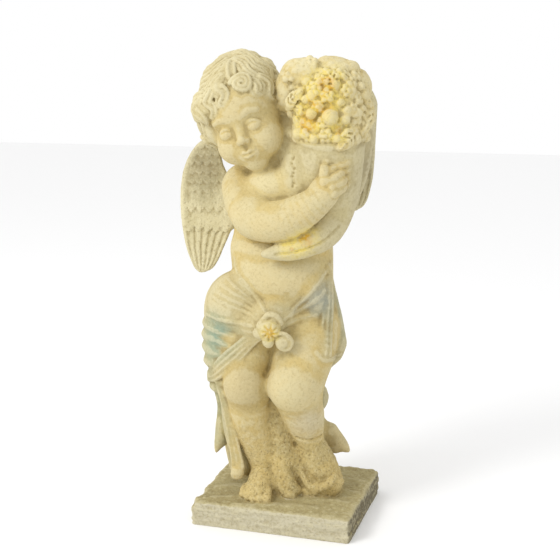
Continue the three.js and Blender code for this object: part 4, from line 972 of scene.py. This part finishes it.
def add_side_folds(hand):
    """The pleated end that hangs beside the left thigh, its hem, and the cloth outside it."""
    hand.rope([(7.8, 1.6, 50), (9.4, 1.2, 42), (10.8, 1.2, 34)], (1.6, 2, 2.3), 2, steps=8)
    band = [(8.9, -8, 53), (8.8, -9, 46), (8.5, -10, 39), (7.9, -10, 34)]
    laid, kept = hand.draped(band, (-0.1, 1, 0))
    widths = np.array([0.6, 0.9, 1.2, 1.3])[kept]
    hand.ribbon(laid, [(0.25, -1, 0)] * len(laid), widths, 0.5, 3, 0.36, 0.7, 0.35)
    hem = [(5.8, -10, 34.6), (7.2, -10, 33), (9.4, -9, 32.4), (11.4, -7, 31.6), (12.4, -4, 31.4)]
    hand.ridge(hem, (0.3, 0.45, 0.5, 0.45, 0.35), 0.7, (-0.2, 1, 0), -0.1)


def add_knot(hand):
    """A knot pulled into loops, the largest hanging at the lower right."""
    hand.rope([(-4.4, -9, 40.2), (-4.4, -11.4, 40.2)], (3, 2.6), 1)
    hand.ball((-3.6, -11.8, 42.5), 1.2, 0.4)
    over = [(-5.8, -11.8, 42.2), (-4.5, -12.7, 43.7), (-2.7, -12.8, 43.2), (-1.8, -12.2, 41.6)]
    hand.rope(over, (0.55, 0.65, 0.65, 0.5), 0.5)
    hand.egg((-1.4, -12, 37.6), (1.7, 1.2, 1.9), (0, 20, 0), 0.5)
    loop = [
        (-2.6, -13, 39.6), (-0.9, -12.9, 39.3), (0.4, -12.3, 37.6),
        (-0.3, -12.1, 35.9), (-1.8, -12.1, 35.9), (-2.7, -12.6, 37.4),
    ]
    hand.rope(loop, (0.4, 0.5, 0.55, 0.5, 0.45, 0.35), 0.5)
    hand.egg((-4.7, -12, 37.6), (1.3, 1, 1.6), (0, -15, 0), 0.4)
    hand.egg((-6.6, -11.6, 39.2), (1.5, 1, 1.2), (0, 20, 0), 0.4)
    hand.egg((-6, -11.9, 41.2), (1.3, 1, 1), (0, -30, 0), 0.4)
    carve = hand.other(carving=True)
    for k in range(8):
        a = math.radians(45 * k + 20)
        start = (-4.3 + 0.5 * math.cos(a), -14, 39.8 + 0.5 * math.sin(a))
        end = (-4.3 + 1.8 * math.cos(a + 0.3), -14, 39.8 + 1.8 * math.sin(a + 0.3))
        carve.ridge([start, end], (0.22, 0.18), 0.4)


def roughen(clay):
    """Coarse grain: strong on the stump, the fruit and the lower legs, slight on the rest."""
    whole = tuple(slice(0, n) for n in clay.count)
    grain = roughness(clay, whole, 3.2, 11)
    grain += roughness(clay, whole, 6.5, 12)
    grain *= 0.5
    amount = np.array(GRAIN, np.float32)[clay.kind]
    # The lower legs, from the feet up to the knees.
    z = clay.heights()
    shins = (step(z, 170, 120) * step(z, 58, 80)).astype(np.float32)
    amount += 0.5 * shins * (clay.kind == SKIN)
    clay.field += grain * amount


def sculpt():
    """The whole casting, form by form, each blended into those before it, cut off flat below."""
    clay = Clay((-166, -106, -3.5 * PITCH), (126, 106, 612), PITCH)
    add_plinth(clay)
    body = Hand(clay, SKIN, (0, 0, PLINTH_HEIGHT), (0, 0, FIGURE_TURN), UNIT)
    add_legs(body)
    add_torso(body)
    add_cloth(body.other(CLOTH))
    add_feet(body)
    add_knot(body.other(CLOTH))
    add_wings(body.other(WING))
    add_horn(body.other(HORN))
    add_fruit(body.other(FRUIT))
    add_arms(body)
    head = Hand(clay, SKIN, HEAD, HEAD_TURN, parent=body)
    add_face(head)
    add_hair(head.other(HAIR))
    add_hand(body)
    roughen(clay)
    clay.field[:] = np.maximum(clay.field, -clay.heights())
    return clay


def surface(clay):
    """Points and faces of the clay's surface in millimetres, the largest connected piece only."""
    band = 4 * clay.pitch
    grid = openvdb.FloatGrid(band)
    grid.copyFromArray(np.clip(clay.field, -band, band), tolerance=1e-3)
    points, triangles, quads = grid.convertToPolygons(isovalue=0.0, adaptivity=0.0)
    points = points * clay.pitch + clay.low
    faces = np.concatenate([triangles, quads[:, [0, 1, 2]], quads[:, [0, 2, 3]]]).astype(np.int64)
    # Each point takes the least label of its piece, spread from face to face.
    label = np.arange(len(points))
    while True:
        least = label[faces].min(axis=1)
        new = label.copy()
        for i in range(3):
            np.minimum.at(new, faces[:, i], least)
        new = new[new]
        if (new == label).all():
            break
        label = new
    sizes = np.bincount(label[faces[:, 0]])
    faces = faces[label[faces[:, 0]] == sizes.argmax()]
    used, faces = np.unique(faces, return_inverse=True)
    return points[used], faces.reshape(-1, 3)


def make_object(name, points, faces):
    mesh = bpy.data.meshes.new(name)
    mesh.vertices.add(len(points))
    mesh.vertices.foreach_set("co", points.astype(np.float32).ravel())
    mesh.loops.add(faces.size)
    mesh.loops.foreach_set("vertex_index", faces.astype(np.int32).ravel())
    mesh.polygons.add(len(faces))
    mesh.polygons.foreach_set("loop_start", np.arange(0, faces.size, 3, dtype=np.int32))
    mesh.update(calc_edges=True)
    mesh.validate()
    made = bpy.data.objects.new(name, mesh)
    bpy.context.scene.collection.objects.link(made)
    return made


def reduce_faces(piece, limit):
    """Fewer faces, kept where the surface bends most."""
    count = len(piece.data.polygons)
    if count <= limit:
        return
    fewer = piece.modifiers.new("fewer", "DECIMATE")
    fewer.ratio = limit / count
    fewer.use_collapse_triangulate = True
    bpy.context.view_layer.update()
    depsgraph = bpy.context.evaluated_depsgraph_get()
    mesh = bpy.data.meshes.new_from_object(piece.evaluated_get(depsgraph))
    old = piece.data
    piece.modifiers.clear()
    piece.data = mesh
    bpy.data.meshes.remove(old)
    mesh.name = piece.name


class Spread:
    """Averages values over each point's neighbours on the mesh."""

    def __init__(self, mesh):
        self.count = len(mesh.vertices)
        edges = np.empty(len(mesh.edges) * 2, np.int32)
        mesh.edges.foreach_get("vertices", edges)
        self.a, self.b = edges.reshape(-1, 2).T
        self.near = np.bincount(self.a, minlength=self.count) + np.bincount(self.b, minlength=self.count)

    def once(self, values):
        if values.ndim == 2:
            return np.stack([self.once(values[:, i]) for i in range(values.shape[1])], axis=1)
        total = np.bincount(self.a, values[self.b], self.count)
        total += np.bincount(self.b, values[self.a], self.count)
        return total / np.maximum(self.near, 1)

    def times(self, values, rounds):
        values = np.asarray(values, float)
        for _ in range(rounds):
            values = 0.5 * values + 0.5 * self.once(values)
        return values


def mesh_values(data, name, width):
    values = np.empty(len(data) * width, np.float32)
    data.foreach_get(name, values)
    return values.reshape(-1, width).astype(float)


def store(mesh, name, values):
    made = mesh.attributes.new(name, "FLOAT", "POINT")
    made.data.foreach_set("value", np.asarray(values, np.float32))


def mark_surface(mesh, clay):
    """Stores what each point of the surface is, and how deep in a hollow it lies."""
    points = mesh_values(mesh.vertices, "co", 3)
    normals = mesh_values(mesh.vertex_normals, "vector", 3)
    place = np.rint((points - clay.low) / clay.pitch).astype(int)
    place = np.clip(place, 0, np.array(clay.count) - 1)
    kind = clay.kind[tuple(place.T)]
    spread = Spread(mesh)
    for value, name in enumerate(KIND_NAMES):
        store(mesh, name, spread.times(kind == value, 3))
    # How far each point is sunk in a crease and in a hollow, later darkened there as dirt and painted shade.
    for name, rounds, depth in (("crease", 3, 0.35), ("hollow", 24, 1.8)):
        smooth = spread.times(points, rounds)
        sunk = ((smooth - points) * normals).sum(axis=1) / depth
        store(mesh, name, np.clip(spread.times(sunk, 1) * 0.5 + 0.5, 0, 1))


class Nodes:
    """Short calls for building a material's nodes."""

    def __init__(self, name):
        self.material = bpy.data.materials.new(name)
        self.material.use_nodes = True
        self.tree = self.material.node_tree
        self.tree.nodes.clear()
        self.place = self.new("ShaderNodeTexCoord").outputs["Object"]

    def new(self, kind, **settings):
        node = self.tree.nodes.new(kind)
        for key, value in settings.items():
            setattr(node, key, value)
        return node

    def link(self, source, target):
        self.tree.links.new(source, target)

    def put(self, target, value):
        if isinstance(value, bpy.types.NodeSocket):
            self.link(value, target)
        else:
            target.default_value = value

    def mark(self, name):
        return self.new("ShaderNodeAttribute", attribute_name=name).outputs["Fac"]

    def math(self, operation, a, b=0.0):
        node = self.new("ShaderNodeMath", operation=operation)
        self.put(node.inputs[0], a)
        self.put(node.inputs[1], b)
        return node.outputs[0]

    def chain(self, operation, values):
        result = values[0]
        for value in values[1:]:
            result = self.math(operation, result, value)
        return result

    def times(self, *values):
        return self.chain("MULTIPLY", values)

    def plus(self, *values):
        return self.chain("ADD", values)

    def most(self, *values):
        return self.chain("MAXIMUM", values)

    def rest(self, value):
        """What is left of 1."""
        return self.math("SUBTRACT", 1.0, value)

    def ramp(self, value, low, high, to_low=0.0, to_high=1.0):
        node = self.new("ShaderNodeMapRange")
        node.interpolation_type = "SMOOTHSTEP"
        for socket, v in zip(node.inputs, (value, low, high, to_low, to_high)):
            self.put(socket, v)
        return node.outputs[0]

    def mix(self, share, a, b):
        node = self.new("ShaderNodeMix", data_type="RGBA")
        self.put(node.inputs[0], share)
        self.put(node.inputs[6], a)
        self.put(node.inputs[7], b)
        return node.outputs[2]

    def noise(self, scale, detail=3.0, rough=0.6, where=None):
        node = self.new("ShaderNodeTexNoise")
        node.inputs["Scale"].default_value = scale
        node.inputs["Detail"].default_value = detail
        node.inputs["Roughness"].default_value = rough
        self.link(where or self.place, node.inputs["Vector"])
        return node.outputs["Fac"]

    def cells(self, scale):
        node = self.new("ShaderNodeTexVoronoi")
        node.inputs["Scale"].default_value = scale
        self.link(self.place, node.inputs["Vector"])
        return node.outputs["Distance"]

    def stretched(self, x, y, z):
        node = self.new("ShaderNodeMapping")
        self.link(self.place, node.inputs["Vector"])
        node.inputs["Scale"].default_value = (x, y, z)
        return node.outputs[0]

    def spot(self, centre, radius):
        """1 at a place, falling to 0 at a distance from it, in metres."""
        away = self.new("ShaderNodeVectorMath", operation="DISTANCE")
        self.link(self.place, away.inputs[0])
        away.inputs[1].default_value = centre
        return self.ramp(away.outputs["Value"], 0.0, radius, 1.0, 0.0)

    def finish(self, shader):
        """Ends the material with its shader."""
        output = self.new("ShaderNodeOutputMaterial")
        self.link(shader.outputs[0], output.inputs["Surface"])
        return self.material


def colour(r, g, b, level=0.74):
    """A colour as it looks in the studio's light, 0 to 255, as the surface's own."""

    def linear(c):
        c = c / 255
        return c / 12.92 if c <= 0.04045 else ((c + 0.055) / 1.055) ** 2.4

    return (level * linear(r), level * linear(g), level * linear(b), 1.0)


def figure_place(x, y, z):
    """A place given in the figure's hundredths, in metres of the frame."""
    p = turning((0, 0, FIGURE_TURN)) @ (UNIT * np.array([x, y, z], float))
    return tuple((p + np.array([0, 0, PLINTH_HEIGHT])) / 1000)


# Tints of the cloth and of all the stone, a few of the stone's being painted light and painted shade: place
# in the figure's hundredths, radius in metres, colour, strength.
CLOTH_TINTS = [
    ((-16.4, -6, 37.5), 0.046, (136, 172, 158), 0.95),
    ((-17, -2, 33), 0.036, (166, 184, 158), 0.7),
    ((-15.8, 1, 12), 0.070, (132, 140, 104), 0.95),
    ((-16, 2, 22), 0.060, (150, 156, 122), 0.85),
    ((7, -8, 46), 0.040, (166, 170, 158), 0.9),
    ((3, -10, 44), 0.022, (176, 172, 158), 0.8),
    ((11, 0, 42), 0.075, (156, 162, 138), 0.95),
    ((12, 2, 9.5), 0.045, (150, 128, 82), 0.85),
    ((10, -4, 31.6), 0.034, (140, 118, 80), 0.9),
    ((7, 2, 18), 0.060, (166, 158, 120), 0.7),
    ((-3, 11, 30), 0.170, (160, 162, 126), 0.85),
]
STONE_TINTS_AND_PAINTED_LIGHT = [
    ((4, -9, 18.5), 0.036, (206, 196, 176), 0.75),
    # Painted light on the chest below the chin.
    ((-3.4, -9.4, 71.6), 0.052, (250, 234, 176), 0.8),
    ((-19.4, 6, 74), 0.050, (160, 148, 114), 0.9),
    ((-19.8, 6, 68), 0.036, (180, 170, 132), 0.7),
    ((-14.4, 6, 79), 0.016, (120, 92, 44), 0.8),
    ((16, 2, 74), 0.085, (176, 164, 130), 0.9),
    # Painted shade at the right of the arm.
    ((12.6, -6, 70), 0.045, (186, 174, 138), 0.7),
    # Painted shade in the narrow channel between the neck and the horn.
    ((0.8, -9, 74), 0.022, (198, 186, 146), 0.5),
    # Painted shade at the right of the horn's mouth.
    ((13.6, -9, 81), 0.020, (168, 156, 124), 0.7),
    ((-10.2, -10, 27.4), 0.042, (188, 162, 98), 0.95),
    ((-10, -9, 22.6), 0.034, (196, 172, 112), 0.7),
    ((-8.6, -8, 14), 0.045, (200, 176, 116), 0.7),
]
# Rusty stains: place, radius of the yellow halo, radius of the orange core.
RUST = [
    ((6, -12, 88), 0.052, 0.026),
    ((7.6, -12, 92.6), 0.044, 0.016),
    ((3.6, -12, 84.8), 0.038, 0.018),
    ((10, -13, 83), 0.026, 0.008),
    ((3.4, -13, 59.9), 0.032, 0.013),
    ((0.4, -13.4, 58), 0.026, 0.004),
    ((-4.3, -12.6, 39.8), 0.020, 0.013),
]


def tinted(n, base, tints, *shares):
    """The base colour with each tint laid over it, as far as the shares let it show."""
    for where, radius, tint, strength in tints:
        share = n.times(n.spot(figure_place(*where), radius), strength, *shares)
        base = n.mix(share, base, colour(*tint))
    return base


def stone_colour(n, low):
    """The stone's colour, its grain and how rough it is; low is 1 near the ground, 0 at the knees."""
    broad = n.noise(11, 4, 0.6)
    patch = n.noise(34, 5, 0.65)
    grain = n.noise(300, 3, 0.75)
    base = n.mix(n.ramp(patch, 0.35, 0.68), colour(224, 200, 133), colour(222, 205, 150))
    base = n.mix(n.ramp(broad, 0.45, 0.7), base, colour(217, 195, 133))
    shades = {
        "hair": ((233, 221, 176), (218, 203, 153)),
        "horn": ((222, 208, 158), (206, 192, 146)),
        "fruit": ((243, 229, 178), (230, 209, 146)),
        "wing": ((242, 232, 190), (224, 213, 168)),
        "cloth": ((222, 204, 150), (212, 198, 150)),
        "stump": ((204, 186, 130), (176, 158, 108)),
    }
    for name, (light, dark) in shades.items():
        base = n.mix(n.mark(name), base, n.mix(n.ramp(patch, 0.32, 0.68), colour(*light), colour(*dark)))
    in_patches = n.ramp(patch, 0.2, 0.6, 0.55, 1.0)
    # The tints show in patches; some of the stone's are painted light and painted shade.
    base = tinted(n, base, CLOTH_TINTS, in_patches, n.mark("cloth"))
    base = tinted(n, base, STONE_TINTS_AND_PAINTED_LIGHT, in_patches)

    # The plinth: pale in front, yellow-brown on top, and painted shade, dark grey, on the side that faces
    # right.
    sides = n.new("ShaderNodeSeparateXYZ")
    n.link(n.new("ShaderNodeNewGeometry").outputs["Normal"], sides.inputs[0])
    upward = n.ramp(sides.outputs["Z"], 0.25, 0.8)
    painted_shade_right = n.ramp(sides.outputs["X"], 0.3, 0.85)
    layers = n.ramp(n.noise(60, 4, 0.7, n.stretched(1, 1, 3.5)), 0.35, 0.65)
    slab = n.mix(layers, colour(218, 210, 181), colour(205, 196, 164))
    slab = n.mix(painted_shade_right, slab, colour(122, 114, 92))
    top = n.mix(n.ramp(n.noise(45, 5, 0.7), 0.35, 0.65), colour(194, 181, 132), colour(177, 163, 116))
    base = n.mix(n.mark("ground"), base, n.mix(upward, slab, top))

    # Ochre wash on the lower legs.
    wash = n.times(low, n.rest(n.mark("ground")), n.ramp(n.noise(52, 4), 0.35, 0.65, 0.3, 0.85))
    base = n.mix(wash, base, colour(220, 195, 128))

    # Yellow and orange stains.
    halo_spread = n.ramp(n.noise(95, 5, 0.75), 0.32, 0.6, 0.1, 1.0)
    core_spread = n.ramp(n.noise(170, 5, 0.75), 0.38, 0.58, 0.15, 1.0)
    for where, halo, core in RUST:
        ragged = n.times(n.ramp(n.spot(figure_place(*where), halo), 0.0, 0.7), halo_spread, 0.85)
        base = n.mix(ragged, base, colour(250, 226, 118))
        deep = n.times(n.ramp(n.spot(figure_place(*where), core), 0.0, 0.6), core_spread, 0.9)
        base = n.mix(deep, base, colour(232, 178, 46))

    # Where the stone is rough: the stump, the lower legs, a little on the plinth and the wings.
    wing, ground = n.mark("wing"), n.mark("ground")
    bare = n.rest(n.most(ground, n.mark("cloth")))
    rough = n.most(n.mark("stump"), n.times(low, bare), n.times(wing, 0.5), n.times(ground, 0.45))

    # Dirt and painted shade in creases, painted shade in hollows, less on the wings and the plinth, and pale
    # wear on what stands out.
    calm = n.rest(n.plus(n.times(wing, 0.35), n.times(ground, 0.55)))
    crease = n.ramp(n.mark("crease"), 0.6, 0.9)
    hollow = n.ramp(n.mark("hollow"), 0.58, 0.97)
    grime_and_painted_shade = n.most(n.times(crease, 0.55), n.times(hollow, 0.4))
    base = n.mix(n.times(grime_and_painted_shade, calm), base, colour(160, 139, 88))
    worn_edge = n.times(n.ramp(n.mark("crease"), 0.45, 0.25), 0.4, n.rest(n.times(rough, 0.8)))
    base = n.mix(worn_edge, base, colour(242, 232, 192))

    # Specks and grain, stronger where the stone is rough.
    specks = n.times(n.ramp(n.cells(300), 0.2, 0.06), n.ramp(n.noise(40, 3), 0.4, 0.62))
    base = n.mix(n.times(specks, n.plus(0.3, n.times(rough, 0.3))), base, colour(120, 100, 62))
    pits = n.times(n.ramp(n.cells(190), 0.26, 0.1), n.times(low, bare), 0.5)
    base = n.mix(pits, base, colour(126, 104, 62))
    dark_grain = n.times(n.ramp(grain, 0.5, 0.72), n.plus(0.28, n.times(rough, 0.3)))
    base = n.mix(dark_grain, base, colour(146, 125, 80))
    pale_grain = n.times(n.ramp(grain, 0.48, 0.3), n.plus(0.24, n.times(rough, 0.16)))
    base = n.mix(pale_grain, base, colour(244, 234, 192))
    return base, grain, rough


def stone_material():
    n = Nodes("weathered_stone")
    height = n.new("ShaderNodeSeparateXYZ")
    n.link(n.place, height.inputs[0])
    low = n.ramp(height.outputs["Z"], 0.17, 0.06)
    base, grain, rough = stone_colour(n, low)
    shader = n.new("ShaderNodeBsdfPrincipled")
    shader.inputs["Specular IOR Level"].default_value = 0.2
    n.put(shader.inputs["Base Color"], base)
    n.put(shader.inputs["Roughness"], n.ramp(grain, 0.2, 0.8, 0.78, 0.95))
    # Grain and pits, deeper on the stump, the plinth and the lower legs.
    pits = n.ramp(n.cells(210), 0.0, 0.4)
    relief = n.plus(
        n.times(grain, 0.55),
        n.times(n.noise(900, 2), 0.2),
        n.times(n.noise(130, 4), 0.6),
        n.times(pits, rough, 0.9),
    )
    bump = n.new("ShaderNodeBump")
    bump.inputs["Distance"].default_value = 0.0014
    n.put(bump.inputs["Strength"], n.plus(0.6, n.times(rough, 0.35)))
    n.link(relief, bump.inputs["Height"])
    n.link(bump.outputs["Normal"], shader.inputs["Normal"])
    return n.finish(shader)


def floor_material():
    n = Nodes("pale_floor")
    shader = n.new("ShaderNodeBsdfPrincipled")
    shader.inputs["Base Color"].default_value = (0.93, 0.93, 0.93, 1)
    shader.inputs["Roughness"].default_value = 0.9
    return n.finish(shader)


def add_statue():
    clay = sculpt()
    points, faces = surface(clay)
    statue = make_object("statue", points, faces)
    reduce_faces(statue, FACE_LIMIT)
    mesh = statue.data
    mark_surface(mesh, clay)
    points = mesh_values(mesh.vertices, "co", 3)
    points[:, 2] = np.where(np.abs(points[:, 2]) < GROUND_GAP, 0, points[:, 2])
    mesh.vertices.foreach_set("co", (points / 1000).astype(np.float32).ravel())
    mesh.polygons.foreach_set("use_smooth", np.ones(len(mesh.polygons), bool))
    mesh.update()
    mesh.materials.clear()
    mesh.materials.append(stone_material())
    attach(statue, "root")
    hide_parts("angel_statue")


def add_floor():
    bpy.ops.mesh.primitive_plane_add(size=12, location=(0, 0, 0))
    floor = bpy.context.object
    floor.name = "floor"
    floor.data.materials.append(floor_material())


def add_light(name, place, target, size, watts):
    lamp = bpy.data.lights.new(name, "AREA")
    lamp.shape = "DISK"
    lamp.size = size
    lamp.energy = watts
    made = bpy.data.objects.new(name, lamp)
    made.location = place
    made.rotation_euler = (Vector(target) - Vector(place)).to_track_quat("-Z", "Y").to_euler()
    bpy.context.scene.collection.objects.link(made)


def add_lights():
    """White surroundings and one soft lamp from the upper left."""
    world = bpy.data.worlds.new("studio")
    world.use_nodes = True
    world.node_tree.nodes["Background"].inputs[0].default_value = (1, 1, 1, 1)
    world.node_tree.nodes["Background"].inputs[1].default_value = 1.0
    bpy.context.scene.world = world
    bpy.context.scene.view_settings.view_transform = "Standard"
    add_light("key", (-1.1, -1.5, 1.7), (0, 0, 0.3), 0.8, 24)


def add_camera():
    """Where the photograph was taken from: a little right of the front, at the height of the head."""
    data = bpy.data.cameras.new("camera")
    data.sensor_width = SENSOR_WIDTH
    data.lens = FOCAL_LENGTH / PHOTO_SIZE * SENSOR_WIDTH
    camera = bpy.data.objects.new("camera", data)
    camera.location = CAMERA_PLACE
    camera.rotation_mode = "QUATERNION"
    camera.rotation_quaternion = (CAMERA_TARGET - CAMERA_PLACE).to_track_quat("-Z", "Y")
    bpy.context.scene.collection.objects.link(camera)
    bpy.context.scene.camera = camera


add_statue()
add_floor()
add_lights()
add_camera()
